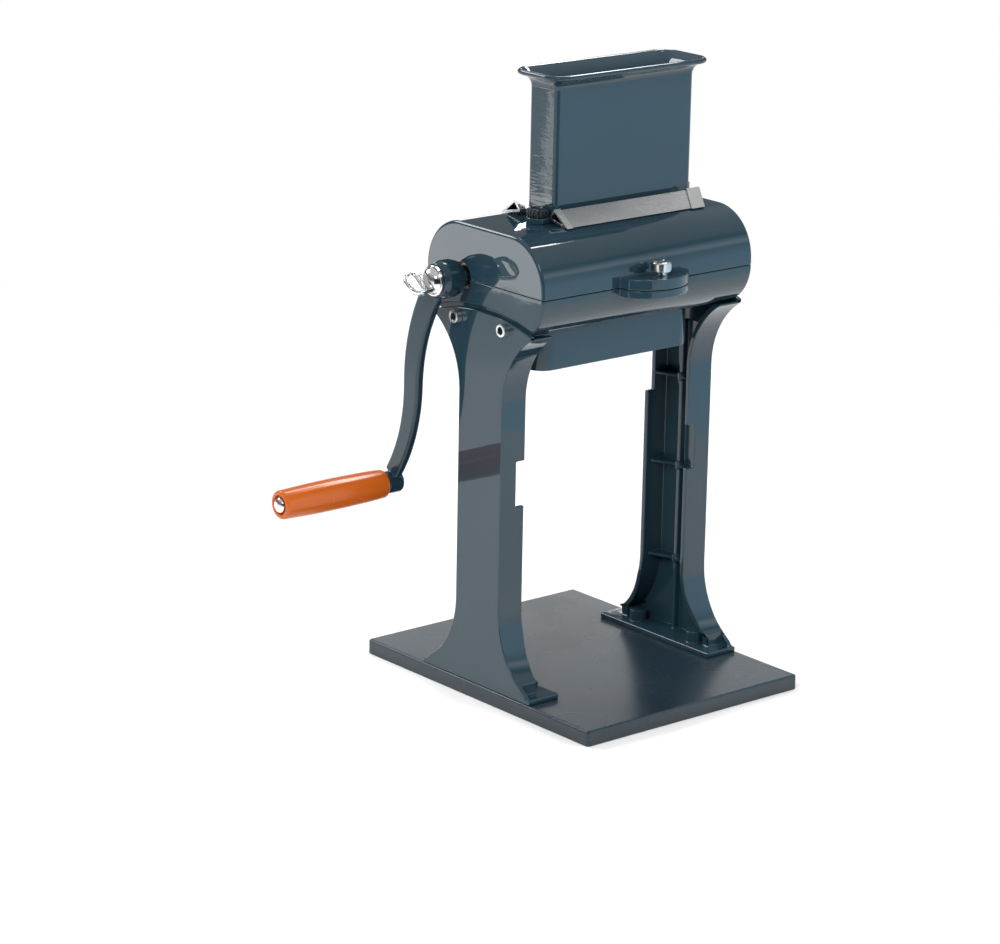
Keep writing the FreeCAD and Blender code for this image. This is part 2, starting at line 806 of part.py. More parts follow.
def makeCrankArm():
    rear = armEdge(1)
    front = armEdge(-1)
    steps = [front[1] + front[2], front[3] + front[4], rear[4], rear[3] + rear[2], rear[1] + rear[0],
             front[0]]
    edges = pathEdges(front[0], steps, lambda y, z: Vector(armOuterX, y, z))
    arm = Part.Face(Part.Wire(edges)).extrude(Vector(armThick, 0, 0))
    longEdges = [e for e in arm.Edges if e.Length > crankDrop / 4 and e.BoundBox.XLength < 1e-3]
    arm = arm.makeChamfer(armEdgeBevel, longEdges)
    profile = [(bossStart, 0), (bossStart, crankBossRadius - bossBevel),
               (bossStart + bossBevel, crankBossRadius), (bossEnd - bossEndBevel, crankBossRadius),
               (bossEnd, crankBossRadius - bossEndBevel), (bossEnd, 0)]
    boss = spunX(profile, crankY, crankZ)
    half = squareDrive / 2 + runClear
    square = box(hubOuterX - 1, hubInnerX + 1, rollerY - half, rollerY + half, rollerZ - half, rollerZ + half)
    drilling = rodX(gripBoltRadius, bossStart - 1, bossEnd - boltTipClear, crankY, crankZ)
    return cutAway(fused([arm, hubBarrel(), boss]), [square, drilling])


def hubBarrel():
    # barrel with a band round its middle, turned about the shaft
    band = hubLength * 0.2
    middle = (hubInnerX + hubOuterX) / 2
    profile = [(hubOuterX, 0), (hubOuterX, hubEndRadius), (middle - band, hubMidRadius),
               (middle + band, hubMidRadius), (hubInnerX, hubEndRadius), (hubInnerX, 0)]
    return spunX(profile, rollerY, rollerZ)


def makeGripBolt():
    # low domed head in the recess of the grip, and a shank that ends in the boss of the arm
    seat = bossStart - gripGap - gripLength + gripRecessDepth - boltHeadLift
    crown = seat - boltHeadHeight
    tip = bossEnd - boltTipShort
    profile = [(crown, 0), (crown + boltHeadLift, boltHeadRadius / 2),
               (seat - boltHeadHeight / 2, boltHeadRadius * 0.88), (seat, boltHeadRadius),
               (seat, gripBoltRadius), (tip, gripBoltRadius), (tip, 0)]
    return spunX(profile, crankY, crankZ)


def makeGrip():
    # slightly barrelled, with rounded ends and a recess for the head of its bolt
    x1 = bossStart - gripGap
    x0 = x1 - gripLength
    seat = x0 + gripRecessDepth
    bore = gripBoltRadius + runClear
    low = gripEndRadius - gripEndRound
    k = gripEndRound * (1 - math.sqrt(0.5))
    steps = [(seat, gripRecessRadius), (x0, gripRecessRadius), (x0, low),
             (x0 + k, gripEndRadius - k, x0 + gripEndRound, gripEndRadius),
             ((x0 + x1) / 2, gripMidRadius, x1 - gripEndRound, gripEndRadius),
             (x1 - k, gripEndRadius - k, x1, low), (x1, bore), (seat, bore)]
    edges = pathEdges((seat, bore), steps, lambda x, r: Vector(x, crankY + r, crankZ))
    face = Part.Face(Part.Wire(edges))
    return face.revolve(Vector(0, crankY, crankZ), Vector(1, 0, 0), 360)


def makeWingScrew():
    face = hubOuterX - faceGap
    flange = face - wingFlangeLength
    cone = flange - wingConeLength
    profile = [(face + wingShankLength, 0), (face + wingShankLength, wingShank), (face, wingShank),
               (face, wingFlangeRadius), (flange, wingFlangeRadius - 0.4),
               (cone, wingNeckRadius), (cone - 2, wingNeckRadius - 1), (cone - 2, 0)]
    body = spunX(profile, rollerY, rollerZ)
    # flat wing with a long hole, standing out along the axis
    x0 = cone + 1
    x1 = cone + 1 - wingTabLength
    y, z = rollerY, rollerZ
    low = z - wingTabThick / 2
    rootHalf = wingTabHalf * 0.75
    shoulder = x0 - wingTabLength * 0.35
    steps = [(x0, y + rootHalf), (shoulder, y + wingTabHalf), (x1, y, shoulder, y - wingTabHalf)]
    tab = slabZ((x0, y - rootHalf), steps, low, low + wingTabThick)
    holeX = x0 - wingTabLength * 0.52
    near = holeX + wingHoleHalf
    far = holeX - wingHoleHalf
    y0 = y - wingHoleReach
    y1 = y + wingHoleReach
    steps = [(near, y1), (holeX, y1 + wingHoleHalf, far, y1), (far, y0)]
    edges = pathEdges((near, y0), steps + [(holeX, y0 - wingHoleHalf, near, y0)],
                      lambda px, py: Vector(px, py, low - 1))
    hole = Part.Face(Part.Wire(edges))
    tab = tab.cut(hole.extrude(Vector(0, 0, wingTabThick + 2)))
    tab.rotate(Vector(0, y, z), Vector(1, 0, 0), wingTilt)
    return fused([body, tab])


# ---- legs --------------------------------------------------------------------
def legOutline(inset):
    # front and rear edges share one shape: straight shank, flared head and flared foot
    half = legHalfWidth - inset
    head = headFlare + inset
    foot = footFlare + inset
    headY = headHalf - inset
    headZ = headStart + math.sqrt(head ** 2 - (head - (headY - half)) ** 2)
    midZ = headStart + (headZ - headStart) * 0.5
    midY = half + head - math.sqrt(head ** 2 - (midZ - headStart) ** 2)
    creaseY = footCreaseHalf - inset
    creaseZ = footFlareTop - math.sqrt(foot ** 2 - (foot - (creaseY - half)) ** 2)
    lowZ = (creaseZ + footFlareTop) / 2
    lowY = half + foot - math.sqrt(foot ** 2 - (footFlareTop - lowZ) ** 2)
    return {"half": half, "head": (headY, headZ), "headMid": (midY, midZ), "crease": (creaseY, creaseZ),
            "footMid": (lowY, lowZ)}


def legSlab(inset, x0, x1, top, foot):
    # top is a list of steps from the rear tip of the head to the front tip
    o = legOutline(inset)
    kneeY = footKneeHalf - inset
    footY = footHalf - inset
    low = baseThick + foot
    kneeZ = low + footKneeRise
    steps = [(-kneeY, kneeZ), (-o["crease"][0], o["crease"][1]),
             (-o["footMid"][0], o["footMid"][1], -o["half"], footFlareTop), (-o["half"], headStart),
             (-o["headMid"][0], o["headMid"][1], -o["head"][0], o["head"][1])]
    steps += top
    steps += [(o["head"][0], o["head"][1]), (o["headMid"][0], o["headMid"][1], o["half"], headStart),
              (o["half"], footFlareTop), (o["footMid"][0], o["footMid"][1], o["crease"][0], o["crease"][1]),
              (kneeY, kneeZ), (footY, low)]
    return slabX((-footY, low), steps, x0, x1)


def makeLeftLeg():
    xOut = -legOuterX
    xWeb = xOut + legWeb
    xIn = xOut + legDepth
    tipZ = legTopArch - archRadius + math.sqrt(archRadius ** 2 - headHalf ** 2)
    arch = [(-headHalf, tipZ), (0, legTopArch, headHalf, tipZ)]
    solid = legSlab(0, xOut, xIn, arch, 0.0)
    inner = legSlab(legFlange, xWeb, xIn + 1, [(-headHalf + legFlange, legTopArch + 20),
                                               (headHalf - legFlange, legTopArch + 20)], footPlateThick)
    leg = solid.cut(inner)
    # the head clears the rounded underside of the housing
    start, steps = lowerOutline(-archClear)
    leg = leg.cut(slabX(start, steps, xWeb, xIn + 1))
    innerTop = floorBottom + legInnerRise
    leg = leg.cut(box(xWeb, xIn + 1, -headHalf - 1, headHalf + 1, innerTop, seamHeight))
    # cut-outs in the inner edges of the two flanges
    edgeIn = legHalfWidth - legFlange - 1
    edgeOut = legHalfWidth + 1
    stepTop = rearStepHeight + rearStepTall
    tools = [box(xIn - notchDepth, xIn + 1, -edgeOut, -edgeIn, notchLow, notchHigh),
             box(xIn - rearStepDepth, xIn + 1, edgeIn, edgeOut, rearStepHeight, stepTop)]
    # the flanges grow narrower towards the foot
    footTop = baseThick + footPlateThick
    taper = [Vector(xIn - footTaperDepth, 0, footTop), Vector(xIn + 1, 0, footTaperHeight),
             Vector(xIn + 1, 0, footTop)]
    taper = Part.Face(Part.makePolygon(taper + [taper[0]])).extrude(Vector(0, 2 * footHalf, 0))
    taper.translate(Vector(0, -footHalf, 0))
    leg = cutAway(leg, tools + [taper])
    foot = box(xOut, xOut + footPlateWidth, -footHalf, footHalf, baseThick, footTop)
    pieces = [leg, foot]
    # stiffening: a low keel up the middle and tapered ribs across to both flanges
    pieces.append(box(xWeb - 1, xWeb + legKeelHeight, -legKeelThick / 2, legKeelThick / 2,
                      footTop, floorBottom - legKeelDrop))
    inside = legHalfWidth - legFlange + 0.5
    for z in legRibHeights:
        outline = [Vector(xWeb - 1, -inside, z), Vector(xWeb + legRibEdge - 4, -inside, z),
                   Vector(xWeb + legKeelHeight, 0, z), Vector(xWeb + legRibEdge - 4, inside, z),
                   Vector(xWeb - 1, inside, z)]
        pieces.append(Part.Face(Part.makePolygon(outline + [outline[0]])).extrude(Vector(0, 0, legRibThick)))
        pieces.append(rodZ(pinBossRadius, xWeb + legKeelHeight - 1, 0, z - 2, z + legRibThick + 2))
    for side in (-1, 1):
        pieces.append(rodZ(footBossRadius, -baseScrewX, side * baseScrewY, footTop - 1,
                           footTop + footBossHeight))
    leg = fused(pieces)
    tools = []
    for side in (-1, 1):
        tools.append(rodZ(baseScrewShank, -baseScrewX, side * baseScrewY, baseThick - 1,
                          footTop + footBossHeight - baseScrewTip))
        tools.append(rodX(capShankRadius + baseScrewClear, xOut - 1, xWeb + 1, side * legScrewSpread,
                          legScrewHeight))
    return cutAway(leg, tools)


def capScrew(side, y):
    # socket head cap screw lying along X, head outwards
    seat = -(legOuterX + 0.02)
    head = rodX(capHeadRadius, seat - capHeadHeight, seat, y, legScrewHeight)
    shank = rodX(capShankRadius, seat, seat + capShankLength, y, legScrewHeight)
    face = seat - capHeadHeight
    socket = hexX(capSocketAcross, face - 1, face + capSocketDepth, y, legScrewHeight)
    screw = fused([head, shank]).cut(socket)
    return screw if side < 0 else mirroredX(screw)


# ---- base --------------------------------------------------------------------
def makeBaseBoard():
    board = box(-baseLength / 2, baseLength / 2, -baseDepth / 2, baseDepth / 2, 0, baseThick)
    upright = [e for e in board.Edges if e.BoundBox.ZMax - e.BoundBox.ZMin > baseThick - 0.1]
    board = board.makeFillet(baseCorner, upright)
    top = [e for e in board.Edges if e.BoundBox.ZMin > baseThick - 1e-4]
    board = board.makeChamfer(baseEdgeBevel, top)
    tools = []
    for sx in (-1, 1):
        for sy in (-1, 1):
            tools.append(rodZ(baseScrewShank + baseScrewClear, sx * baseScrewX, sy * baseScrewY,
                              -1, baseThick + 1))
            tools.append(spunZ(screwHead(faceGap), sx * baseScrewX, sy * baseScrewY))
    return cutAway(board, tools)


def screwHead(grow):
    # countersunk head, flush with the underside of the board
    rise = baseScrewHeadHeight + 2 * grow
    return [(0, -grow), (baseScrewHead + 2 * grow, -grow), (baseScrewShank, rise), (0, rise)]


def makeBaseScrews():
    screws = []
    z1 = baseScrewSink + baseScrewHeadHeight
    z2 = baseThick + footPlateThick + footBossHeight - baseScrewTip - 1
    for sx in (-1, 1):
        for sy in (-1, 1):
            profile = [(0, baseScrewSink), (baseScrewHead, baseScrewSink), (baseScrewShank - 0.02, z1),
                       (baseScrewShank - 0.02, z2), (0, z2)]
            screws.append(spunZ(profile, sx * baseScrewX, sy * baseScrewY))
    return screws


def main():
    save("base_board", makeBaseBoard())
    save("base_screws", makeBaseScrews())
    leftLeg = makeLeftLeg()
    save("left_leg", leftLeg)
    save("right_leg", mirroredX(leftLeg))
    save("leg_screws", [capScrew(sx, sy * legScrewSpread) for sx in (-1, 1) for sy in (-1, 1)])
    save("lower_housing", makeLowerHousing())
    save("cover", makeCover())
    save("hopper", makeHopper())
    save("left_hopper_knob", makeHopperKnob(-1))
    save("right_hopper_knob", makeHopperKnob(1))
    save("front_thumb_screw", makeThumbScrew(-1))
    save("rear_thumb_screw", makeThumbScrew(1))
    save("shaft_bushings", makeBushings())
    save("drive_shaft", makeDriveShaft())
    save("idle_shaft", makeShaft(-rollerY, -innerEndX + faceGap, halfPitch))
    save("drive_blades", makeBlades(rollerY, 0.0))
    save("idle_blades", makeBlades(-rollerY, halfPitch))
    save("drive_spacers", makeSpacers(rollerY, 0.0))
    save("idle_spacers", makeSpacers(-rollerY, halfPitch))
    save("drive_stack_nut", makeStackNut(rollerY, 0.0))
    save("idle_stack_nut", makeStackNut(-rollerY, halfPitch))
    save("drive_gear", makeGear(rollerY, 0.0))
    save("idle_gear", makeGear(-rollerY, 0.5))
    save("drive_gear_key", makeGearKey(rollerY))
    save("idle_gear_key", makeGearKey(-rollerY))
    save("front_comb", makeComb(-1, halfPitch))
    save("rear_comb", makeComb(1, 0.0))
    save("front_comb_clips", makeCombClips(-1))
    save("rear_comb_clips", makeCombClips(1))
    save("crank_arm", makeCrankArm())
    save("grip_bolt", makeGripBolt())
    save("crank_grip", makeGrip())
    save("wing_screw", makeWingScrew())


main()
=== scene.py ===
import math

import bmesh
import bpy
from mathutils import Matrix, Vector


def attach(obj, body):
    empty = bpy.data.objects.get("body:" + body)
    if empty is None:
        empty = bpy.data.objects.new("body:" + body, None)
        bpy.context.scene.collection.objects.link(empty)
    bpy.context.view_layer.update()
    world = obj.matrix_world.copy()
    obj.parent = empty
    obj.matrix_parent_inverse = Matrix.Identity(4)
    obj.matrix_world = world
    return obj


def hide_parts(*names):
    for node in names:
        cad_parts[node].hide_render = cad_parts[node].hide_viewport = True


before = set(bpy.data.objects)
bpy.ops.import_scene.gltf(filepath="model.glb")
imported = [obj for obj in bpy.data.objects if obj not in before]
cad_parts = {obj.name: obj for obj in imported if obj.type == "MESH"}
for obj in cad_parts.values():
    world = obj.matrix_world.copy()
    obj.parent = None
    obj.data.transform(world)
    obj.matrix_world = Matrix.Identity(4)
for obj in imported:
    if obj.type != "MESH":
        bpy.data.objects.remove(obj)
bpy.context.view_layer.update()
mm = 0.001
print("frame loaded:", len(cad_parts), "nodes")


class Wire:
    # a node's output that Python's own signs can calculate with
    def __init__(self, nodes, socket):
        self.nodes = nodes
        self.socket = socket

    def __add__(self, other):
        return self.nodes.calculate("ADD", self, other)

    def __radd__(self, other):
        return self.nodes.calculate("ADD", other, self)

    def __sub__(self, other):
        return self.nodes.calculate("SUBTRACT", self, other)

    def __rsub__(self, other):
        return self.nodes.calculate("SUBTRACT", other, self)

    def __mul__(self, other):
        return self.nodes.calculate("MULTIPLY", self, other)

    def __rmul__(self, other):
        return self.nodes.calculate("MULTIPLY", other, self)

    def __gt__(self, other):
        return self.nodes.calculate("GREATER_THAN", self, other)

    def __abs__(self):
        return self.nodes.calculate("ABSOLUTE", self, 0.0)


class ShaderNodes:
    # the node tree of a material or of the world
    def __init__(self, owner):
        owner.use_nodes = True
        self.tree = owner.node_tree
        self.tree.nodes.clear()

    def add(self, kind, settings=None, sockets=None):
        # settings come first, because they decide which sockets there are
        node = self.tree.nodes.new("ShaderNode" + kind)
        for key, value in (settings or {}).items():
            setattr(node, key, value)
        for key, value in (sockets or {}).items():
            if isinstance(key, int):
                target = node.inputs[key]
            else:
                target = next(s for s in node.inputs if s.enabled and s.name == key)
            self.join(value, target)
        return {s.name: Wire(self, s) for s in node.outputs if s.enabled}

    def join(self, value, target):
        # colours are written without their alpha
        if isinstance(value, Wire):
            self.tree.links.new(value.socket, target)
        elif target.type == "RGBA":
            target.default_value = (*value, 1)
        else:
            target.default_value = value

    def calculate(self, operation, first, second):
        return self.add("Math", {"operation": operation}, {0: first, 1: second})["Value"]

    def between(self, value, low, high, fromLow=0.3, fromHigh=0.7):
        sockets = {"Value": value, "From Min": fromLow, "From Max": fromHigh,
                   "To Min": low, "To Max": high}
        return self.add("MapRange", {}, sockets)["Result"]


class Finish(ShaderNodes):
    # one material, with the Principled shader that its parts feed
    def __init__(self, name, **fixed):
        self.material = bpy.data.materials.new(name)
        super().__init__(self.material)
        self.shader = self.tree.nodes.new("ShaderNodeBsdfPrincipled")
        self.output = self.tree.nodes.new("ShaderNodeOutputMaterial")
        self.tree.links.new(self.shader.outputs[0], self.output.inputs[0])
        for socket, value in fixed.items():
            self.feed(socket.replace("_", " "), value)

    def feed(self, socket, value):
        self.join(value, self.shader.inputs[socket])

    def place(self, stretch=(1, 1, 1)):
        # the object's own coordinates in metres; a small number draws a pattern out along that axis
        here = self.add("TexCoord")["Object"]
        return self.add("Mapping", {}, {"Vector": here, "Scale": stretch})["Vector"]

    def clouds(self, scale, stretch=(1, 1, 1), detail=3, rough=0.5):
        sockets = {"Vector": self.place(stretch), "Scale": scale, "Detail": detail,
                   "Roughness": rough}
        return self.add("TexNoise", {}, sockets)["Fac"]

    def blend(self, factor, first, second):
        sockets = {"Factor": factor, "A": first, "B": second}
        return self.add("Mix", {"data_type": "RGBA"}, sockets)["Result"]

    def relief(self, height, depth):
        # depth is how far the surface rises for a height of 1, in metres
        bump = self.add("Bump", {}, {"Height": height, "Distance": depth})
        self.feed("Normal", bump["Normal"])


# finishes: scales count patches to the metre, depths are in metres
paintLook = {"colour": (0.014, 0.036, 0.052), "paler": (0.017, 0.041, 0.059),
             "crankColour": (0.008, 0.026, 0.040), "crankPaler": (0.010, 0.031, 0.047),
             "patches": 18, "sheenPatches": 90, "roughness": (0.02, 0.05),
             "peelScale": 420, "peelDepth": 0.000008, "wavesScale": 40, "wavesDepth": 0.00012,
             "rippleScale": 330, "rippleStretch": (0.2, 0.15, 1), "rippleDepth": 0.0001,
             "rippleFrom": 0.066, "rippleCentre": 0.0175}


def glossPaint(name, colour, paler, rippled=False):
    # rippled paint has ripples past a distance from the hopper's middle, on its narrow sides
    look = paintLook
    finish = Finish(name, Specular_IOR_Level=0.4, Coat_Weight=0.25, Coat_Roughness=0.02,
                    Coat_IOR=1.5)
    patches = finish.clouds(look["patches"], detail=2)
    finish.feed("Base Color", finish.blend(patches, colour, paler))
    sheen = finish.clouds(look["sheenPatches"])
    finish.feed("Roughness", finish.between(sheen, *look["roughness"]))
    peel = finish.clouds(look["peelScale"], detail=1) * look["peelDepth"]
    waves = finish.clouds(look["wavesScale"], detail=1) * look["wavesDepth"]
    height = peel + waves
    if rippled:
        across = finish.add("SeparateXYZ", {}, {"Vector": finish.place()})["X"]
        narrow = abs(across - look["rippleCentre"]) > look["rippleFrom"]
        ripples = finish.clouds(look["rippleScale"], look["rippleStretch"], detail=1)
        height = height + narrow * ripples * look["rippleDepth"]
    finish.relief(height, 1.0)
    return finish.material


satinLook = {"colour": (0.010, 0.021, 0.032), "paler": (0.013, 0.027, 0.039), "patches": 9,
             "sheenPatches": 26, "roughness": (0.25, 0.29), "peelScale": 400,
             "peelDepth": 0.000003}


def satinPaint():
    look = satinLook
    finish = Finish("satinPaint", Specular_IOR_Level=0.55)
    patches = finish.clouds(look["patches"], detail=1)
    finish.feed("Base Color", finish.blend(patches, look["colour"], look["paler"]))
    sheen = finish.clouds(look["sheenPatches"], detail=1)
    finish.feed("Roughness", finish.between(sheen, *look["roughness"]))
    finish.relief(finish.clouds(look["peelScale"], detail=1), look["peelDepth"])
    return finish.material


varnishLook = {"colour": (0.52, 0.112, 0.009), "darker": (0.43, 0.076, 0.005), "grain": 120,
               "grainStretch": (0.12, 1, 1), "sheenPatches": 70, "roughness": (0.16, 0.28),
               "dimples": 200, "dimpleStretch": (0.3, 1, 1), "dimpleDepth": 0.000008}


def gripVarnish():
    look = varnishLook
    finish = Finish("gripVarnish", Specular_IOR_Level=0.2, Coat_Weight=0.4, Coat_Roughness=0.18,
                    Coat_IOR=1.5)
    grain = finish.clouds(look["grain"], look["grainStretch"], detail=4, rough=0.6)
    finish.feed("Base Color", finish.blend(grain, look["colour"], look["darker"]))
    finish.feed("Roughness", finish.between(finish.clouds(look["sheenPatches"]),
                                            *look["roughness"]))
    finish.relief(finish.clouds(look["dimples"], look["dimpleStretch"], detail=1),
                  look["dimpleDepth"])
    return finish.material


lacquerLook = {"colour": (0.006, 0.009, 0.012), "paler": (0.014, 0.019, 0.024), "patches": 300,
               "sheenPatches": 500, "roughness": (0.16, 0.32), "grit": 1200,
               "gritDepth": 0.00003}


def knobLacquer():
    look = lacquerLook
    finish = Finish("knobLacquer", Specular_IOR_Level=0.5, Coat_Weight=0.4, Coat_Roughness=0.1)
    patches = finish.clouds(look["patches"])
    finish.feed("Base Color", finish.blend(patches, look["colour"], look["paler"]))
    finish.feed("Roughness", finish.between(finish.clouds(look["sheenPatches"]),
                                            *look["roughness"]))
    finish.relief(finish.clouds(look["grit"], detail=2), look["gritDepth"])
    return finish.material


metalLook = {
    "bright_steel": {"name": "polishedSteel", "colour": (0.86, 0.86, 0.85),
                     "dull": (0.72, 0.72, 0.71), "roughness": (0.09, 0.19), "grain": 600,
                     "depth": 0.00001},
    "zinc_steel": {"name": "zincPlate", "colour": (0.78, 0.79, 0.80),
                   "dull": (0.66, 0.67, 0.68), "roughness": (0.26, 0.36), "grain": 700,
                   "depth": 0.00001},
    "comb_steel": {"name": "railSteel", "colour": (0.58, 0.59, 0.60),
                   "dull": (0.50, 0.51, 0.52), "roughness": (0.22, 0.30), "grain": 300,
                   "depth": 0.000004, "stretch": (0.03, 1, 1)},
    "blade_steel": {"name": "bladeSteel", "colour": (0.66, 0.67, 0.68),
                    "dull": (0.48, 0.49, 0.50), "roughness": (0.16, 0.32), "grain": 900,
                    "depth": 0.00002, "stretch": (0.2, 1, 1)},
    "gear_iron": {"name": "gearSteel", "colour": (0.40, 0.40, 0.41),
                  "dull": (0.24, 0.24, 0.25), "roughness": (0.28, 0.46), "grain": 500,
                  "depth": 0.00004},
    "bronze": {"name": "bushBronze", "colour": (0.62, 0.42, 0.20),
               "dull": (0.45, 0.28, 0.12), "roughness": (0.24, 0.42), "grain": 500,
               "depth": 0.00003, "stretch": (0.1, 1, 1)}}

wearLook = {"patches": 60, "patchShare": 0.6, "streakShare": 0.3, "roughShare": 0.2}


def metal(name, colour, dull, roughness, grain, depth, stretch=(1, 1, 1)):
    # bare metal with duller patches, and grain that may run along one axis
    finish = Finish(name, Metallic=1.0)
    patches = finish.between(finish.clouds(wearLook["patches"], detail=4), 0.0, 1.0)
    streaks = finish.clouds(grain, stretch, detail=4, rough=0.7)
    wear = patches * wearLook["patchShare"] + streaks * wearLook["streakShare"]
    finish.feed("Base Color", finish.blend(wear, colour, dull))
    worn = streaks + patches * wearLook["roughShare"]
    finish.feed("Roughness", finish.between(worn, *roughness))
    finish.relief(streaks, depth)
    return finish.material


finishes = {
    "body_paint": glossPaint("glossPaint", paintLook["colour"], paintLook["paler"]),
    "crank_paint": glossPaint("crankPaint", paintLook["crankColour"], paintLook["crankPaler"]),
    "base_paint": satinPaint(),
    "dark_steel": knobLacquer(),
    "grip_orange": gripVarnish()}
finishes.update({slotName: metal(**look) for slotName, look in metalLook.items()})
print("finishes made:", len(finishes))

# how every casting's faces are joined, its edges rounded and its shading kept crisp
castLook = {"mergeWithin": 0.02 * mm, "flatWithin": 0.4, "roundPast": 32, "roundSteps": 3,
            "creasePast": 30, "shadingWeight": 80}


def linked(name, data):
    # a new object in the scene, round a mesh, a light or a camera
    thing = bpy.data.objects.new(name, data)
    bpy.context.scene.collection.objects.link(thing)
    return thing


def linkedShape(name, shape):
    mesh = bpy.data.meshes.new(name)
    shape.to_mesh(mesh)
    shape.free()
    return linked(name, mesh)


def applied(piece):
    # the evaluated shape as a plain mesh, with its modifiers gone
    graph = bpy.context.evaluated_depsgraph_get()
    graph.update()
    mesh = bpy.data.meshes.new_from_object(piece.evaluated_get(graph), depsgraph=graph)
    piece.modifiers.clear()
    piece.data = mesh
    return piece


def softened(piece, angle=castLook["creasePast"]):
    # even shading: flat faces keep their own direction, round ones run smoothly together
    for face in piece.data.polygons:
        face.use_smooth = True
    piece.data.set_sharp_from_angle(angle=math.radians(angle))
    even = piece.modifiers.new("even", "WEIGHTED_NORMAL")
    even.keep_sharp = True
    even.weight = castLook["shadingWeight"]
    return applied(piece)


def settled(piece, body, slotName, node, finish=None):
    # the piece gets its one material and its body, and the imported node that it stands for is
    # hidden
    piece.data.materials.clear()
    piece.data.materials.append(finish or finishes[slotName])
    for face in piece.data.polygons:
        face.material_index = 0
    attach(piece, body)
    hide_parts(node)


def nodeCopy(name, node):
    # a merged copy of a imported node, with its flat stretches joined into single faces
    shape = bmesh.new()
    shape.from_mesh(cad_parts[node].data)
    bmesh.ops.remove_doubles(shape, verts=shape.verts, dist=castLook["mergeWithin"])
    bmesh.ops.dissolve_limit(shape, angle_limit=math.radians(castLook["flatWithin"]),
                             verts=shape.verts, edges=shape.edges)
    return linkedShape(name, shape)


def rounded(piece, width):
    bevel = piece.modifiers.new("round", "BEVEL")
    bevel.width = width
    bevel.segments = castLook["roundSteps"]
    bevel.limit_method = "ANGLE"
    bevel.angle_limit = math.radians(castLook["roundPast"])
    bevel.miter_outer = "MITER_ARC"
    bevel.use_clamp_overlap = False
    return applied(piece)


def casting(name, node, body, slotName, width):
    settled(softened(rounded(nodeCopy(name, node), width)), body, slotName, node)


def closedShape(name, shape):
    bmesh.ops.recalc_face_normals(shape, faces=shape.faces)
    return linkedShape(name, shape)


def ringed(name, rings, closed=False):
    # skins over rings of equal count, where a ring of one point closes an end
    shape = bmesh.new()
    rows = [[shape.verts.new(point) for point in ring] for ring in rings]
    if closed:
        rows.append(rows[0])
    steps = max(len(row) for row in rows)
    for first, second in zip(rows, rows[1:]):
        for k in range(steps):
            n = (k + 1) % steps
            corners = [first[k % len(first)], first[n % len(first)],
                       second[n % len(second)], second[k % len(second)]]
            corners = list(dict.fromkeys(corners))
            if len(corners) > 2:
                shape.faces.new(corners)
    return closedShape(name, shape)


def turned(name, profile, centre, axis, steps=96, closed=False):
    # the profile holds (along, radius) in millimetres and is turned about the axis;
    # a third number makes that ring a polygon of so many sides
    along = Vector(axis)
    side = along.orthogonal().normalized()
    other = along.cross(side)
    rings = []
    for place, radius, *sides in profile:
        middle = Vector(centre) + along * (place * mm)
        ring = []
        for k in range(steps if radius > 0 else 1):
            a = 2 * math.pi * k / steps
            wedge = math.pi / sides[0] if sides else 0
            reach = radius * mm
            if sides:
                reach /= math.cos(a % (2 * wedge) - wedge)
            ring.append(middle + (side * math.cos(a) + other * math.sin(a)) * reach)
        rings.append(ring)
    return ringed(name, rings, closed)


def arcPoints(centre, radius, start, end, count):
    # points on an arc, angles in degrees
    angles = [math.radians(start + (end - start) * k / count) for k in range(count + 1)]
    return [(centre[0] + radius * math.cos(a), centre[1] + radius * math.sin(a)) for a in angles]


def block(name, x, y, z):
    # x, y and z are pairs of limits
    corners = [(x[0], y[0]), (x[1], y[0]), (x[1], y[1]), (x[0], y[1])]
    shape = bmesh.new()
    low = [shape.verts.new((px, py, z[0])) for px, py in corners]
    high = [shape.verts.new((px, py, z[1])) for px, py in corners]
    shape.faces.new(low)
    shape.faces.new(high)
    for k in range(4):
        n = (k + 1) % 4
        shape.faces.new((low[k], low[n], high[n], high[k]))
    return closedShape(name, shape)


def carved(piece, tool, operation="DIFFERENCE"):
    cut = piece.modifiers.new("cut", "BOOLEAN")
    cut.operation = operation
    cut.solver = "EXACT"
    cut.object = tool
    applied(piece)
    bpy.data.objects.remove(tool)


def joined(first, second):
    shape = bmesh.new()
    shape.from_mesh(first.data)
    shape.from_mesh(second.data)
    shape.to_mesh(first.data)
    shape.free()
    bpy.data.objects.remove(second)
    return first


def placed(piece, x, y, z):
    piece.data.transform(Matrix.Translation((x, y, z)))
    return piece


def twisted(piece, degrees, axis):
    piece.data.transform(Matrix.Rotation(math.radians(degrees), 4, axis))
    return piece


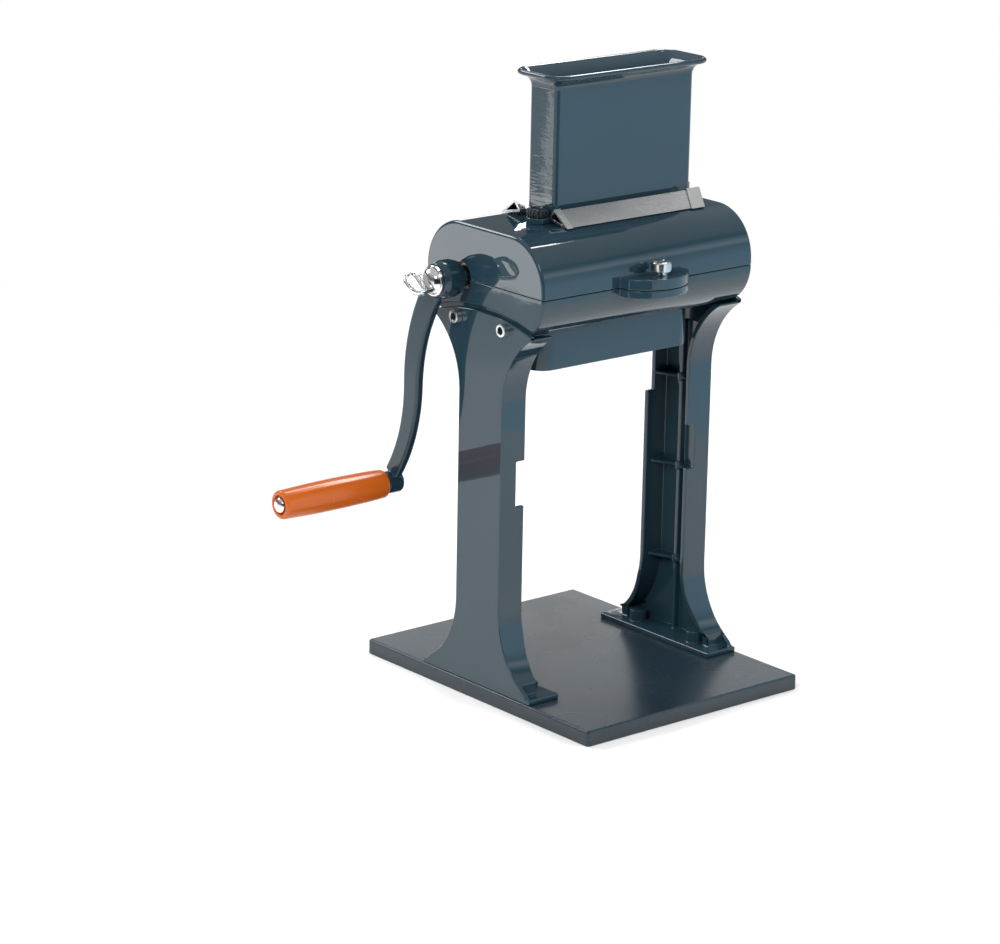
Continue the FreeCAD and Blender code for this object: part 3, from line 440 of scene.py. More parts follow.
class Pattern:
    # a geometry tree that repeats the piece it is put on; its sizes are named inputs
    def __init__(self, name, sizes):
        self.sizes = sizes
        self.tree = bpy.data.node_groups.new(name, "GeometryNodeTree")
        sockets = self.tree.interface
        sockets.new_socket("Geometry", in_out="INPUT", socket_type="NodeSocketGeometry")
        for key, value in sizes.items():
            kind = "NodeSocketInt" if isinstance(value, int) else "NodeSocketFloat"
            sockets.new_socket(key, in_out="INPUT", socket_type=kind)
        sockets.new_socket("Geometry", in_out="OUTPUT", socket_type="NodeSocketGeometry")
        self.inlet = self.tree.nodes.new("NodeGroupInput")

    def size(self, key):
        return self.inlet.outputs[key]

    def add(self, kind, settings=None, sockets=None):
        node = self.tree.nodes.new(kind)
        for key, value in (settings or {}).items():
            setattr(node, key, value)
        for key, value in (sockets or {}).items():
            for item in value if isinstance(value, list) else [value]:
                if isinstance(item, bpy.types.NodeSocket):
                    self.tree.links.new(item, node.inputs[key])
                else:
                    node.inputs[key].default_value = item
        return node.outputs[0]

    def maths(self, operation, first, second):
        return self.add("ShaderNodeMath", {"operation": operation}, {0: first, 1: second})

    def vector(self, x=0.0, y=0.0, z=0.0):
        return self.add("ShaderNodeCombineXYZ", {}, {0: x, 1: y, 2: z})

    def row(self, count, start, step):
        sockets = {"Count": count, "Start Location": start, "Offset": step}
        return self.add("GeometryNodeMeshLine", {"mode": "OFFSET"}, sockets)

    def copies(self, points, turn):
        sockets = {"Points": points, "Instance": self.size("Geometry"), "Rotation": turn}
        return self.add("GeometryNodeInstanceOnPoints", {}, sockets)

    def grow(self, piece, geometry, slotName):
        real = self.add("GeometryNodeRealizeInstances", {}, {"Geometry": geometry})
        dressed = self.add("GeometryNodeSetMaterial", {},
                           {"Geometry": real, "Material": finishes[slotName]})
        outlet = self.tree.nodes.new("NodeGroupOutput")
        self.tree.links.new(dressed, outlet.inputs[0])
        repeat = piece.modifiers.new("repeat", "NODES")
        repeat.node_group = self.tree
        for item in self.tree.interface.items_tree:
            if item.in_out == "INPUT" and item.name in self.sizes:
                repeat[item.identifier] = self.sizes[item.name]
        return applied(piece)


def rowOf(piece, slotName, sizes):
    # copies along X
    pattern = Pattern(piece.name + "Row", sizes)
    step = pattern.vector(x=pattern.size("pitch"))
    points = pattern.row(pattern.size("count"), (0, 0, 0), step)
    return pattern.grow(piece, pattern.copies(points, (0, 0, 0)), slotName)


def ringOf(piece, slotName, sizes):
    # copies all round the Z axis
    pattern = Pattern(piece.name + "Ring", sizes)
    points = pattern.row(pattern.size("count"), (0, 0, 0), (0, 0, 0))
    number = pattern.add("GeometryNodeInputIndex")
    share = pattern.maths("DIVIDE", number, pattern.size("count"))
    turn = pattern.vector(z=pattern.maths("MULTIPLY", share, 2 * math.pi))
    return pattern.grow(piece, pattern.copies(points, turn), slotName)


def cornersOf(piece, slotName, sizes):
    # two copies on the -X side, and the same two turned round to the +X side
    pattern = Pattern(piece.name + "Corners", sizes)
    spread = pattern.size("spread")
    start = pattern.vector(pattern.maths("MULTIPLY", pattern.size("reach"), -1.0),
                           pattern.maths("MULTIPLY", spread, -1.0), pattern.size("height"))
    step = pattern.vector(y=pattern.maths("MULTIPLY", spread, 2.0))
    side = pattern.copies(pattern.row(2, start, step), (0, 0, 0))
    other = pattern.add("GeometryNodeTransform", {},
                        {"Geometry": side, "Rotation": (0, 0, math.pi)})
    both = pattern.add("GeometryNodeJoinGeometry", {}, {0: [side, other]})
    return pattern.grow(piece, both, slotName)


# how far the edges of the castings are rounded
edgeLook = {"base": 0.9 * mm, "leg": 0.9 * mm, "housing": 0.8 * mm, "cover": 0.9 * mm,
            "crank": 1.0 * mm, "bushing": 0.4 * mm, "comb": 0.18 * mm, "clip": 0.16 * mm,
            "baseScrew": 0.3 * mm}
casting("basePlate", "base_board", "root", "base_paint", edgeLook["base"])

# the legs, in millimetres: each flange ends in a ledge that drops straight to the foot plate
legLook = {"web": 102, "lowInside": 88.6, "highInside": 87.5, "inside": 82, "foot": 15.7,
           "ledge": 24.5, "ledgeOut": 51.2, "ledgeIn": 44, "tip": 64, "sunkBy": 0.4,
           "intoWeb": 1}


def makeLeg(name, node, side):
    look = legLook
    leg = nodeCopy(name, node)
    web = look["web"] + look["intoWeb"]
    for end in (-1, 1):
        tail = block("tail", (side * look["web"] * mm, side * look["inside"] * mm),
                     (end * look["ledgeOut"] * mm, end * look["tip"] * mm),
                     (look["foot"] * mm, look["ledge"] * mm))
        carved(leg, tail)
        rings = []
        for inside, z in ((look["lowInside"], look["foot"] - look["sunkBy"]),
                          (look["highInside"], look["ledge"])):
            corners = [(web, look["ledgeIn"]), (inside, look["ledgeIn"]),
                       (inside, look["ledgeOut"]), (web, look["ledgeOut"])]
            rings.append([Vector((side * x, end * y, z)) * mm for x, y in corners])
        low, high = [[sum(ring, Vector()) / 4] for ring in rings]
        carved(leg, ringed("ledge", [low, *rings, high]), "UNION")
    settled(softened(rounded(leg, edgeLook["leg"])), "root", "body_paint", node)


makeLeg("leftLegCasting", "left_leg", -1)
makeLeg("rightLegCasting", "right_leg", 1)
casting("housingCasting", "lower_housing", "root", "body_paint", edgeLook["housing"])
casting("coverCasting", "cover", "cover", "body_paint", edgeLook["cover"])
casting("crankCasting", "crank_arm", "drive_roller", "crank_paint", edgeLook["crank"])
print("castings made")

# the hopper: the mouth is (out of the neck, below the top) in millimetres, from the bead down
hopperLook = {"length": 136 * mm, "width": 33 * mm, "corner": 4.3 * mm, "innerCorner": 1 * mm,
              "cornerSteps": 8, "wall": 4 * mm, "shift": 17.5 * mm, "foot": 359 * mm,
              "seat": 367 * mm, "neckTop": 465.1 * mm, "flare": 9.4 * mm, "flareArc": (180, 92, 10),
              "bead": 2 * mm, "beadIn": 0.6 * mm, "beadArc": (-80, 145, 12), "top": 478.5 * mm,
              "mouth": [(6.6, 1.3), (5.4, 2.2), (4, 3.3), (2.2, 4.9), (0.4, 7.1), (-1.4, 10.2),
                        (-2.8, 14), (-3.7, 18.5), (-4, 23)],
              "lugReach": 9 * mm, "lugOffset": 7 * mm, "lugHalf": 8.8 * mm,
              "lugThick": 4.5 * mm, "lugEdge": 0.9 * mm, "lugSteps": 24,
              "hole": [(-3, 0), (-3, 3.05), (7, 3.05), (7, 0)], "holeSteps": 32}


def neckRing(offset, corner, z):
    # a level ring round the neck, stood off by the offset
    look = hopperLook
    a = (look["length"] + 2 * offset) / 2 - corner
    b = (look["width"] + 2 * offset) / 2 - corner
    ring = []
    for x, y, start in ((a, b, 0), (-a, b, 90), (-a, -b, 180), (a, -b, 270)):
        arc = arcPoints((x, y), corner, start, start + 90, look["cornerSteps"])
        ring += [Vector((look["shift"] + px, py, z)) for px, py in arc]
    return ring


def makeHopperLug(side):
    look = hopperLook
    x = look["shift"] + side * (look["length"] / 2 + look["lugReach"])
    root = look["shift"] + side * (look["length"] / 2 - look["wall"] / 2)
    y = side * look["lugOffset"]
    half = look["lugHalf"]
    arc = arcPoints((0, 0), half, -90, 90, look["lugSteps"])
    end = [(x + side * px, y + py) for px, py in arc]
    outline = [(root, y - half), *end, (root, y + half)]
    levels = (look["seat"], look["seat"] + look["lugThick"])
    low, high = [[Vector((px, py, z)) for px, py in outline] for z in levels]
    lug = ringed("lug", [[Vector((x, y, levels[0]))], low, high, [Vector((x, y, levels[1]))]])
    hole = turned("hole", look["hole"], (x, y, look["seat"]), (0, 0, 1), look["holeSteps"])
    return rounded(lug, look["lugEdge"]), hole


def makeHopper():
    # the skin goes from the foot up round the bead and down the throat
    look = hopperLook
    bead = (look["flare"] - look["beadIn"], look["top"] - look["bead"])
    outside = [(0, look["foot"]), (0, look["seat"]), (0, (look["seat"] + look["neckTop"]) / 2)]
    outside += arcPoints((look["flare"], look["neckTop"]), look["flare"], *look["flareArc"])
    outside += arcPoints(bead, look["bead"], *look["beadArc"])
    inside = [(reach * mm, look["top"] - drop * mm) for reach, drop in look["mouth"]]
    inside += [(-look["wall"], (look["foot"] + look["top"]) / 2), (-look["wall"], look["foot"])]
    rings = [neckRing(offset, look["corner"] + offset, z) for offset, z in outside]
    rings += [neckRing(offset, look["wall"] + offset + look["innerCorner"], z)
              for offset, z in inside]
    hopper = ringed("hopperCasting", rings, closed=True)
    for side in (-1, 1):
        lug, hole = makeHopperLug(side)
        carved(hopper, lug, "UNION")
        carved(hopper, hole)
    paint = glossPaint("rippledPaint", paintLook["colour"], paintLook["paler"], rippled=True)
    settled(softened(hopper), "hopper", "body_paint", "hopper", paint)


makeHopper()
print("hopper made")

# the rollers: shafts with toothed discs and spacers by turns
rollerLook = {"height": 326 * mm, "apart": 52 * mm, "start": -45.5 * mm, "shift": 2.8 * mm,
              "count": 22, "pitch": 5.6 * mm, "thick": 1.6 * mm, "teeth": 12, "tip": 29 * mm,
              "root": 25.5 * mm, "ground": 21 * mm, "edge": 0.5 * mm, "bore": 5.3 * mm,
              "sides": 6, "spacer": 6.66 * mm, "chamfer": 0.35 * mm, "creasePast": 20,
              "fittings": {"shaft": ("bright_steel", 0.5 * mm),
                           "stack_nut": ("zinc_steel", 0.6 * mm),
                           "gear": ("gear_iron", 0.35 * mm),
                           "gear_key": ("zinc_steel", 0.25 * mm)}}


def spacedRing(x, radius, sides=0):
    # as many points about the X axis as the toothed rings have: a circle, or a polygon
    wedge = math.pi / sides if sides else 0
    steps = 2 * rollerLook["teeth"]
    ring = []
    for k in range(steps):
        a = 2 * math.pi * k / steps
        reach = radius / math.cos(a % (2 * wedge) - wedge) if sides else radius
        ring.append(Vector((x, reach * math.cos(a), reach * math.sin(a))))
    return ring


def toothedRing(x, turnSteps):
    # tips and roots by turns, moved on by half a tooth on every second disc
    look = rollerLook
    ring = []
    for k in range(2 * look["teeth"]):
        a = math.pi * k / look["teeth"]
        reach = look["root"] if (k + turnSteps) % 2 else look["tip"]
        ring.append(Vector((x, reach * math.cos(a), reach * math.sin(a))))
    return ring


def toothedDisc(name, turnSteps):
    # a flat plate whose rim is ground down from both faces towards the teeth
    look = rollerLook
    thick = look["thick"]
    rings = [spacedRing(0, look["bore"], look["sides"]), spacedRing(0, look["ground"]),
             toothedRing(thick / 2 - look["edge"] / 2, turnSteps),
             toothedRing(thick / 2 + look["edge"] / 2, turnSteps),
             spacedRing(thick, look["ground"]), spacedRing(thick, look["bore"], look["sides"])]
    return ringed(name, rings, closed=True)


def spacer(name):
    look = rollerLook
    length = look["pitch"] - look["thick"]
    chamfer = look["chamfer"]
    profile = [(0, look["bore"]), (0, look["spacer"] - chamfer), (chamfer, look["spacer"]),
               (length - chamfer, look["spacer"]), (length, look["spacer"] - chamfer),
               (length, look["bore"])]
    rings = [spacedRing(x, radius, look["sides"]) for x, radius in profile]
    return ringed(name, rings, closed=True)


def makeRoller(word, body, side, shift):
    look = rollerLook
    half = {"count": look["count"] // 2, "pitch": 2 * look["pitch"]}
    every = {"count": look["count"], "pitch": look["pitch"]}
    first = rowOf(toothedDisc(word + "Discs", 0), "blade_steel", half)
    second = rowOf(toothedDisc(word + "TurnedDiscs", 1), "blade_steel", half)
    discs = joined(first, placed(second, look["pitch"], 0, 0))
    spacers = rowOf(spacer(word + "Spacers"), "zinc_steel", every)
    x = look["start"] + shift
    y = side * look["apart"] / 2
    placed(discs, x, y, look["height"])
    placed(spacers, x + look["thick"], y, look["height"])
    settled(softened(discs, look["creasePast"]), body, "blade_steel", word + "_blades")
    settled(softened(spacers), body, "zinc_steel", word + "_spacers")
    for kind, (slotName, width) in look["fittings"].items():
        label = word + "".join(part.capitalize() for part in kind.split("_"))
        casting(label, word + "_" + kind, body, slotName, width)


makeRoller("drive", "drive_roller", 1, 0.0)
makeRoller("idle", "idle_roller", -1, rollerLook["shift"])
casting("shaftBushings", "shaft_bushings", "root", "bronze", edgeLook["bushing"])
print("rollers made")

casting("frontComb", "front_comb", "front_comb", "comb_steel", edgeLook["comb"])
casting("rearComb", "rear_comb", "rear_comb", "comb_steel", edgeLook["comb"])

# the clips of the combs: the long one sits askew, its foot further back along the rail
clipLook = {"from": 70 * mm, "apex": 22.9 * mm, "slant": 0.5,
            "steel": {"name": "clipSteel", "colour": (0.72, 0.73, 0.73),
                      "dull": (0.60, 0.61, 0.61), "roughness": (0.16, 0.26), "grain": 300,
                      "depth": 0.00001}}
clipSteel = metal(**clipLook["steel"])


def makeClips(word):
    look = clipLook
    clips = nodeCopy(word + "CombClips", word + "_comb_clips")
    for point in clips.data.vertices:
        if point.co.x > look["from"]:
            point.co.x -= look["slant"] * max(abs(point.co.y) - look["apex"], 0)
    settled(softened(rounded(clips, edgeLook["clip"])), word + "_comb", "comb_steel",
            word + "_comb_clips", clipSteel)


makeClips("front")
makeClips("rear")
print("combs made")

# the legs' screws, with hexagon sockets in their heads that are painted dark as shade
legScrewLook = {"reach": 106.02 * mm, "spread": 27.5 * mm, "height": 295.7 * mm, "steps": 48,
                "profile": [(-15, 0), (-15, 2.6), (-14.6, 3), (0, 3), (0, 4.7), (0.3, 5),
                            (4.5, 5), (4.95, 4.8), (5.18, 4.35), (5.18, 3.25), (4.75, 2.55, 6),
                            (2.2, 2.5, 6), (1.9, 1.9), (1.2, 0)],
                "socket": 3.0 * mm, "colour": (0.80, 0.81, 0.82), "dull": (0.68, 0.69, 0.70),
                # inside is the painted shade colour of the hexagon sockets
                "inside": (0.02, 0.022, 0.026), "roughness": (0.26, 0.36), "grain": 700,
                "grainDepth": 0.00001}


def socketShadeSteel():
    look = legScrewLook
    finish = Finish("socketShadeSteel")
    spots = finish.add("SeparateXYZ", {}, {"Vector": finish.place()})
    across = abs(spots["Y"]) - look["spread"]
    up = spots["Z"] - look["height"]
    # painted shade: inside a circle round each screw's axis the steel is painted near black and
    # made non-metallic, standing in for the shade in the socket
    outsideSocketShade = across * across + up * up > look["socket"] ** 2
    streaks = finish.clouds(look["grain"], detail=4, rough=0.7)
    plate = finish.blend(streaks, look["colour"], look["dull"])
    finish.feed("Base Color", finish.blend(outsideSocketShade, look["inside"], plate))
    finish.feed("Metallic", outsideSocketShade)
    finish.feed("Roughness", finish.between(streaks, *look["roughness"]))
    finish.relief(streaks, look["grainDepth"])
    return finish.material


def makeLegScrews():
    look = legScrewLook
    screw = turned("legScrews", look["profile"], (0, 0, 0), (-1, 0, 0), look["steps"])
    sizes = {key: look[key] for key in ("reach", "spread", "height")}
    screws = cornersOf(screw, "zinc_steel", sizes)
    settled(softened(screws), "root", "zinc_steel", "leg_screws", socketShadeSteel())


makeLegScrews()
casting("baseScrews", "base_screws", "root", "zinc_steel", edgeLook["baseScrew"])

# ribbed knobs that hold the hopper down
knobLook = {"reachX": 77 * mm, "centreX": 17.5 * mm, "offset": 7 * mm, "steps": 72, "ribs": 16,
            "ribPlace": 7.45 * mm, "ribSteps": 10, "creasePast": 35,
            "profile": [(363, 0), (363, 2.6), (363.4, 3), (371.52, 3), (371.52, 6.9),
                        (372, 7.5), (377, 7.5), (377.8, 7.1), (378.2, 6.1), (378.2, 3.6),
                        (377.6, 3.1), (377.6, 0)],
            "rib": [(371.8, 0), (371.8, 0.7), (372.1, 1.05), (376.9, 1.05), (377.4, 0.7),
                    (377.4, 0)]}


def ribbed(name, look, slotName):
    # a turned piece with upright ribs round it
    piece = turned(name, look["profile"], (0, 0, 0), (0, 0, 1), look["steps"])
    rib = turned("rib", look["rib"], (look["ribPlace"], 0, 0), (0, 0, 1), look["ribSteps"])
    carved(piece, ringOf(rib, slotName, {"count": look["ribs"]}), "UNION")
    return piece


def makeKnob(word, side):
    look = knobLook
    knob = ribbed(word + "Knob", look, "dark_steel")
    placed(knob, look["centreX"] + side * look["reachX"], side * look["offset"], 0)
    settled(softened(knob, look["creasePast"]), word + "_knob", "dark_steel",
            word + "_hopper_knob")


makeKnob("left", -1)
makeKnob("right", 1)

# thumb screws of the lugs, slotted across the top
thumbLook = {"reach": 79.5 * mm, "steps": 80, "ribs": 40, "ribPlace": 7.45 * mm, "ribSteps": 4,
             "slotLong": 10 * mm, "slotHalf": 0.8 * mm, "slotDeep": 1.5 * mm, "slotOver": 1 * mm,
             "slotTurn": 24, "top": 343.5 * mm,
             "profile": [(315.5, 0), (315.5, 2.1), (315.9, 2.5), (333.02, 2.5), (333.02, 4.6),
                         (333.3, 5), (334.2, 5), (334.5, 4.6), (335.4, 4.6), (335.7, 4.9),
                         (336, 5.2), (336, 6.9), (336.4, 7.4), (342.4, 7.4), (343.2, 6.9),
                         (343.5, 6.2), (343.5, 0)],
             "rib": [(336.5, 0), (336.5, 0.2), (336.8, 0.35), (342, 0.35), (342.3, 0.2),
                     (342.3, 0)]}


def makeThumbScrew(word, side):
    look = thumbLook
    screw = ribbed(word + "ThumbScrew", look, "bright_steel")
    slot = block("slot", (-look["slotLong"], look["slotLong"]),
                 (-look["slotHalf"], look["slotHalf"]),
                 (look["top"] - look["slotDeep"], look["top"] + look["slotOver"]))
    carved(screw, twisted(slot, look["slotTurn"], "Z"))
    placed(screw, 0, side * look["reach"], 0)
    settled(softened(screw), word + "_screw", "bright_steel", word + "_thumb_screw")


makeThumbScrew("front", -1)
makeThumbScrew("rear", 1)
print("screws and knobs made")

# wing screw in the end of the drive shaft
wingLook = {"face": -130.3 * mm, "y": 26 * mm, "z": 326 * mm, "root": -134.0 * mm,
            "rootHalf": 8.6 * mm, "shoulder": -146.87 * mm, "half": 11 * mm, "thick": 4 * mm,
            "edge": 1.5 * mm, "holeX": -149.74 * mm, "holeHalf": 3.2 * mm,
            "holeReach": 5.5 * mm, "tilt": 38, "points": 72, "outSteps": 40, "holeSteps": 16,
            "edgeSteps": 5, "creasePast": 35,
            "profile": [(-14, 0), (-14, 2.6), (-13.6, 3), (0, 3), (0, 11.1), (0.5, 11.6),
                        (2, 11.6), (2.5, 11.2), (2.7, 10.4), (3.1, 10.1), (4.6, 9.4), (6, 8.3),
                        (7.2, 6.8), (8, 5), (8.4, 3), (8.5, 0)]}


def evenly(outline, count):
    # the same closed line with its points spread evenly along it
    lengths = [math.dist(a, b) for a, b in zip(outline, outline[1:] + outline[:1])]
    points = []
    step = sum(lengths) / count
    k = 0
    walked = 0.0
    for n in range(count):
        while walked + lengths[k] < n * step:
            walked += lengths[k]
            k += 1
        a = outline[k]
        b = outline[(k + 1) % len(outline)]
        share = (n * step - walked) / lengths[k]
        points.append((a[0] + (b[0] - a[0]) * share, a[1] + (b[1] - a[1]) * share))
    return points


def drawnIn(outline, distance):
    # each point moved square to the line that joins its neighbours
    moved = []
    for k, (x, y) in enumerate(outline):
        before = outline[k - 1]
        after = outline[(k + 1) % len(outline)]
        dx, dy = after[0] - before[0], after[1] - before[1]
        size = math.hypot(dx, dy)
        moved.append((x - dy / size * distance, y + dx / size * distance))
    return moved


def makeWingTab():
    # a tab with a long hole, both with rounded edges
    look = wingLook
    tip = (look["shoulder"], 0)
    outside = [(look["root"], 0), (look["root"], look["rootHalf"]),
               *arcPoints(tip, look["half"], 90, 270, look["outSteps"]),
               (look["root"], -look["rootHalf"])]
    hole = [(look["holeX"] + look["holeHalf"], 0)]
    for y, start in ((look["holeReach"], 0), (-look["holeReach"], 180)):
        hole += arcPoints((look["holeX"], y), look["holeHalf"], start, start + 180,
                          look["holeSteps"])
    outside = evenly(outside, look["points"])
    hole = evenly(hole, look["points"])
    edge = look["edge"]
    flat = look["thick"] / 2 - edge
    section = arcPoints((edge, flat), edge, 90, 180, look["edgeSteps"])
    section += arcPoints((edge, -flat), edge, 180, 270, look["edgeSteps"])
    rings = [[Vector((x, y, z)) for x, y in drawnIn(outside, inset)] for inset, z in section]
    rings += [[Vector((x, y, z)) for x, y in drawnIn(hole, -inset)]
              for inset, z in reversed(section)]
    tab = twisted(ringed("tab", rings, closed=True), look["tilt"], "X")
    return placed(tab, 0, look["y"], look["z"])


def makeWingScrew():
    look = wingLook
    middle = (look["face"], look["y"], look["z"])
    screw = turned("wingScrew", look["profile"], middle, (-1, 0, 0))
    carved(screw, makeWingTab(), "UNION")
    settled(softened(screw, look["creasePast"]), "wing", "bright_steel", "wing_screw")


makeWingScrew()

# grip, in millimetres but for its place
gripLook = {"inner": -136.5 * mm, "y": 78 * mm, "z": 158 * mm, "length": 97.8,
            "endRadius": 11.2, "midRadius": 12.3, "round": 2.5, "roundSteps": 6, "swellSteps": 16,
            "bore": 4.05, "recess": 7.4, "recessDeep": 2.2, "recessEdge": (0.4, 0.5),
            "creasePast": 35}


def makeGrip():
    look = gripLook
    length, curve, end = look["length"], look["round"], look["endRadius"]
    steps = look["swellSteps"]
    deep, wide = look["recessEdge"]
    floor = length - look["recessDeep"]
    profile = [(0, look["bore"])]
    profile += arcPoints((curve, end - curve), curve, 180, 90, look["roundSteps"])
    for k in range(1, steps):
        place = curve + (length - 2 * curve) * k / steps
        swell = 1 - (2 * place / length - 1) ** 2
        profile.append((place, end + (look["midRadius"] - end) * swell))
    profile += arcPoints((length - curve, end - curve), curve, 90, 0, look["roundSteps"])
    profile += [(length, look["recess"] + wide), (length - deep, look["recess"]),
                (floor, look["recess"]), (floor, look["bore"])]
    grip = turned("gripHandle", profile, (look["inner"], look["y"], look["z"]), (-1, 0, 0),
                  closed=True)
    settled(softened(grip, look["creasePast"]), "grip", "grip_orange", "crank_grip")


# bolt of the grip: its dome is (how high it starts, how much it rises, how wide it is)
boltLook = {"seat": -232.4 * mm, "shank": [(-107.4, 0), (-107.4, 3.6), (-107, 4), (0, 4)],
            "rim": [(0, 5.7), (0.3, 6)], "dome": (1.1, 3.5, 6), "domeSteps": 10, "steps": 64}


def makeGripBolt():
    look = boltLook
    start, rise, wide = look["dome"]
    angles = [math.pi / 2 * k / look["domeSteps"] for k in range(look["domeSteps"])]
    dome = [(start + rise * math.sin(a), wide * math.cos(a)) for a in angles]
    profile = look["shank"] + look["rim"] + dome + [(start + rise, 0)]
    middle = (look["seat"], gripLook["y"], gripLook["z"])
    bolt = turned("gripBolt", profile, middle, (-1, 0, 0), look["steps"])
    settled(softened(bolt), "drive_roller", "bright_steel", "grip_bolt")


makeGrip()
makeGripBolt()
print("wing screw and grip made")

# floor, world and camera
studio = {"floor": (0.93, 0.93, 0.925), "size": 40.0, "nearWhite": 0.7, "farWhite": 1.4,
          "overhead": 0.7, "horizon": 0.2, "dimBelow": 0.30, "brightAbove": 0.75,
          "cardCloth": (0.012, 0.014, 0.016)}
cameraLook = {"azimuth": -40.0, "elevation": 16.3, "roll": 1.1, "distance": 2.796,
              "middle": 0.250, "aside": 0.0654, "below": 0.0857, "sensor": 36.0,
              "focal": 131.922}

# cards stand on the floor and show only in gloss; a glow is its colour at the foot, then how
# high each next colour starts and is full
cards = {
    "cameraSideCard": {"place": (-0.72, -0.86, 0.0), "width": 1.1, "height": 0.8},
    "frontGlowCard": {"place": (0.47, -0.56, 0.0), "width": 1.3, "height": 0.8,
                      "glow": [(0.84, 1.20, 1.48), (0.34, 0.50, (0.50, 0.72, 0.88)),
                               (0.52, 0.58, (1.3, 1.5, 1.65)),
                               (0.60, 0.72, (0.18, 0.22, 0.25))]},
    "rightSideCard": {"place": (1.95, -2.25, 0.0), "width": 2.4, "height": 1.0}}

# lamps light the object but don't show in gloss
lamps = {
    "keyLamp": {"place": (-2.2, -0.9, 1.7), "target": (0, 0, 0.25), "size": (0.9, 0.9),
                "power": 46},
    "frontLamp": {"place": (0.9, -2.2, 1.5), "target": (0, 0, 0.25), "size": (1.2, 0.8),
                  "power": 26},
    "rearLamp": {"place": (-0.4, 2.2, 1.9), "target": (0, 0, 0.3), "size": (1.3, 0.8),
                 "power": 16}}

# panels show in gloss; shine is how bright they look there, where 1 is white paper
panels = {
    "leftPanel": {"place": (-1.7, -1.6, 2.0), "target": (0, 0, 0.3), "size": (0.6, 0.6),
                  "shine": 7},
    "overheadPanel": {"place": (0.75, 0.75, 2.0), "target": (0, 0, 0.3), "size": (0.5, 0.5),
                      "shine": 8},
    "sparkPanel": {"place": (0.233, 0.07, 0.737), "target": (0.233, -0.1, 0.447),
                   "size": (0.15, 0.07), "shine": 13},
    "streakPanel": {"place": (0.846, 0.14, 1.52), "target": (-0.08, -0.045, 0.355),
                    "size": (0.07, 0.08), "shine": 16},
    "gripPanel": {"place": (0.40, 0.275, 0.9), "target": (0.40, 0.275, 0.0),
                  "size": (0.12, 0.35), "shine": 17, "lights": False},
    "rearPanel": {"place": (-0.8, 2.0, 1.9), "target": (0, 0, 0.3), "size": (1.4, 0.7),
                  "shine": 8},
    "lowPanel": {"place": (1.36, 1.62, 0.53), "target": (0, 0, 0.1), "size": (1.5, 0.3),
                 "shine": 2.2},
    "rearLeftPanel": {"place": (-0.755, 0.825, 0.118), "target": (-0.08, 0, 0.118),
                      "size": (0.4, 0.074), "shine": 2.6, "tilt": -15.5},
    "stripPanel": {"place": (-0.79, 0.84, 0.21), "target": (-0.05, 0, 0.42),
                   "size": (0.02, 0.16), "shine": 1.6}}


def makeFloor():
    # the pale floor turns plain white away from the object, where only its own look is seen
    shape = bmesh.new()
    bmesh.ops.create_grid(shape, x_segments=1, y_segments=1, size=studio["size"])
    floor = linkedShape("floor", shape)
    finish = Finish("floorPaint", Roughness=0.7, Specular_IOR_Level=0.1)
    finish.feed("Base Color", studio["floor"])
    here = finish.add("TexCoord")["Object"]
    away = finish.add("VectorMath", {"operation": "LENGTH"}, {"Vector": here})["Value"]
    white = finish.between(away, 0.0, 1.0, studio["nearWhite"], studio["farWhite"])
    rays = finish.add("LightPath")
    seen = rays["Is Camera Ray"] + rays["Is Glossy Ray"] + rays["Is Transmission Ray"]
    seen = finish.calculate("MINIMUM", seen, 1.0)
    glow = finish.add("Emission", {}, {"Color": (1, 1, 1), "Strength": 1.0})["Emission"]
    paint = Wire(finish, finish.shader.outputs[0])
    mixed = finish.add("MixShader", {}, {0: white * seen, 1: paint, 2: glow})
    finish.join(mixed["Shader"], finish.output.inputs[0])
    floor.data.materials.append(finish.material)


def makeLamp(name, place, target, size, power):
    light = bpy.data.lights.new(name, "AREA")
    light.shape = "RECTANGLE"
    light.size, light.size_y = size
    light.energy = power
    lamp = linked(name, light)
    lamp.location = place
    lamp.rotation_euler = (Vector(target) - Vector(place)).to_track_quat("-Z", "Y").to_euler()
    lamp.visible_glossy = False
    lamp.visible_camera = False
    return lamp


def makePanel(name, place, target, size, shine, tilt=0, lights=True):
    # tilt turns the panel in its own plane; one that lights nothing is seen in gloss alone
    panel = makeLamp(name, place, target, size, shine * math.pi * size[0] * size[1])
    turn = Matrix.Rotation(math.radians(tilt), 3, "Z")
    panel.rotation_euler = (panel.rotation_euler.to_matrix() @ turn).to_euler()
    panel.visible_glossy = True
    panel.visible_diffuse = lights


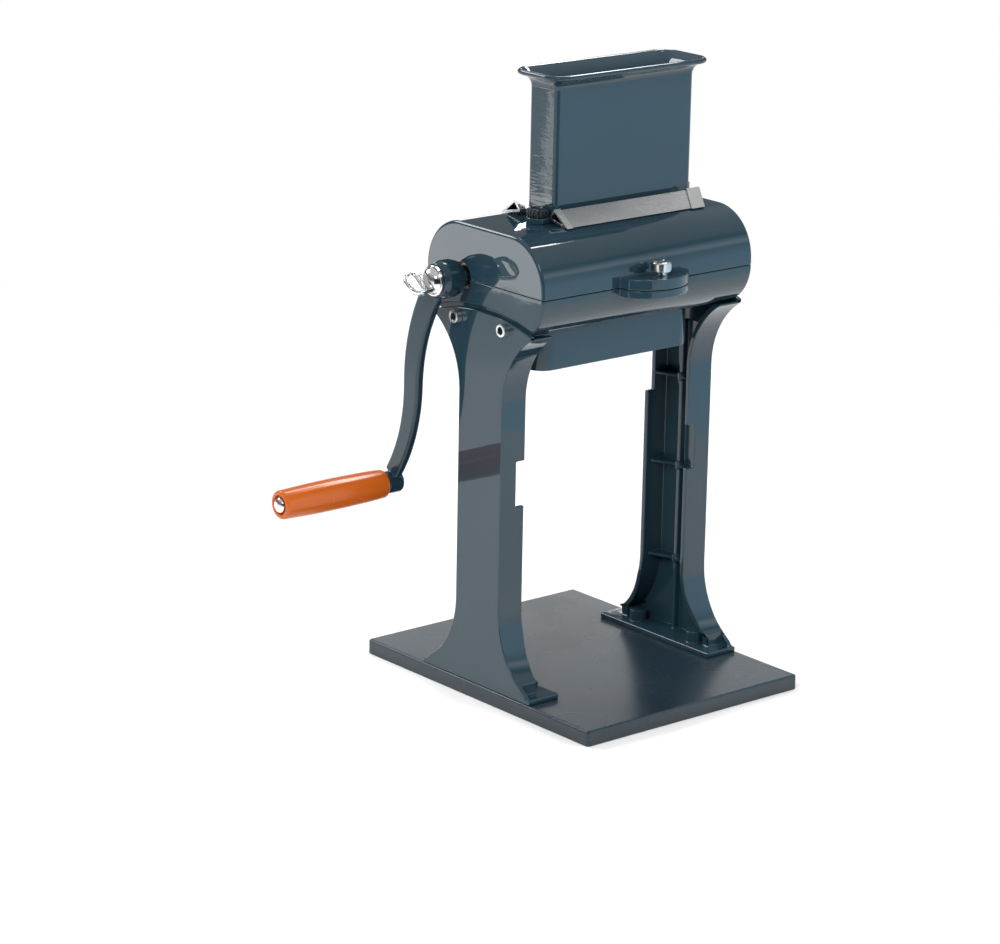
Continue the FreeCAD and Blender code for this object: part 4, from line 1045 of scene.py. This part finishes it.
def makeCard(name, place, width, height, glow=None):
    across = Vector((-place[1], place[0], 0)).normalized() * width / 2
    foot = Vector(place)
    up = Vector((0, 0, height))
    corners = (foot - across, foot + across, foot + across + up, foot - across + up)
    shape = bmesh.new()
    shape.faces.new([shape.verts.new(corner) for corner in corners])
    card = linkedShape(name, shape)
    finish = Finish(name + "Cloth", Roughness=0.9, Specular_IOR_Level=0.1)
    finish.feed("Base Color", studio["cardCloth"])
    if glow:
        rise = finish.add("SeparateXYZ", {}, {"Vector": finish.place()})["Z"]
        shade, *fades = glow
        for low, high, colour in fades:
            shade = finish.blend(finish.between(rise, 0.0, 1.0, low, high), shade, colour)
        finish.feed("Emission Color", shade)
        finish.feed("Emission Strength", 1.0)
    card.data.materials.append(finish.material)
    card.visible_camera = False
    card.visible_diffuse = False
    card.visible_shadow = False


def makeWorld():
    # bright overhead and dim towards the horizon, as in a studio
    world = bpy.data.worlds.new("studio")
    bpy.context.scene.world = world
    sky = ShaderNodes(world)
    height = sky.add("SeparateXYZ", {}, {"Vector": sky.add("TexCoord")["Generated"]})["Z"]
    fade = {"Value": height, "From Min": studio["dimBelow"], "From Max": studio["brightAbove"],
            "To Min": studio["horizon"], "To Max": studio["overhead"]}
    strength = sky.add("MapRange", {"interpolation_type": "SMOOTHSTEP"}, fade)["Result"]
    light = sky.add("Background", {}, {"Strength": strength})["Background"]
    sky.add("OutputWorld", {}, {"Surface": light})


def makeCamera():
    # the camera looks past the object's middle, from a direction given in degrees
    look = cameraLook
    azimuth, elevation, roll = [math.radians(look[key]) for key in ("azimuth", "elevation", "roll")]
    back = Vector((math.sin(azimuth) * math.cos(elevation),
                   -math.cos(azimuth) * math.cos(elevation), math.sin(elevation)))
    right = Vector((math.cos(azimuth), math.sin(azimuth), 0))
    up = back.cross(right)
    aim = Vector((0, 0, look["middle"])) - right * look["aside"] - up * look["below"]
    turnedRight = right * math.cos(roll) + up * math.sin(roll)
    turnedUp = up * math.cos(roll) - right * math.sin(roll)
    lens = bpy.data.cameras.new("camera")
    lens.sensor_width = look["sensor"]
    lens.lens = look["focal"]
    camera = linked("camera", lens)
    turn = Matrix((turnedRight, turnedUp, back)).transposed().to_4x4()
    camera.matrix_world = Matrix.Translation(aim + back * look["distance"]) @ turn
    bpy.context.scene.camera = camera


makeFloor()
makeWorld()
for name, values in cards.items():
    makeCard(name, **values)
for name, values in lamps.items():
    makeLamp(name, **values)
for name, values in panels.items():
    makePanel(name, **values)
makeCamera()
bpy.context.scene.view_settings.view_transform = "Standard"
print("floor, light and camera made")
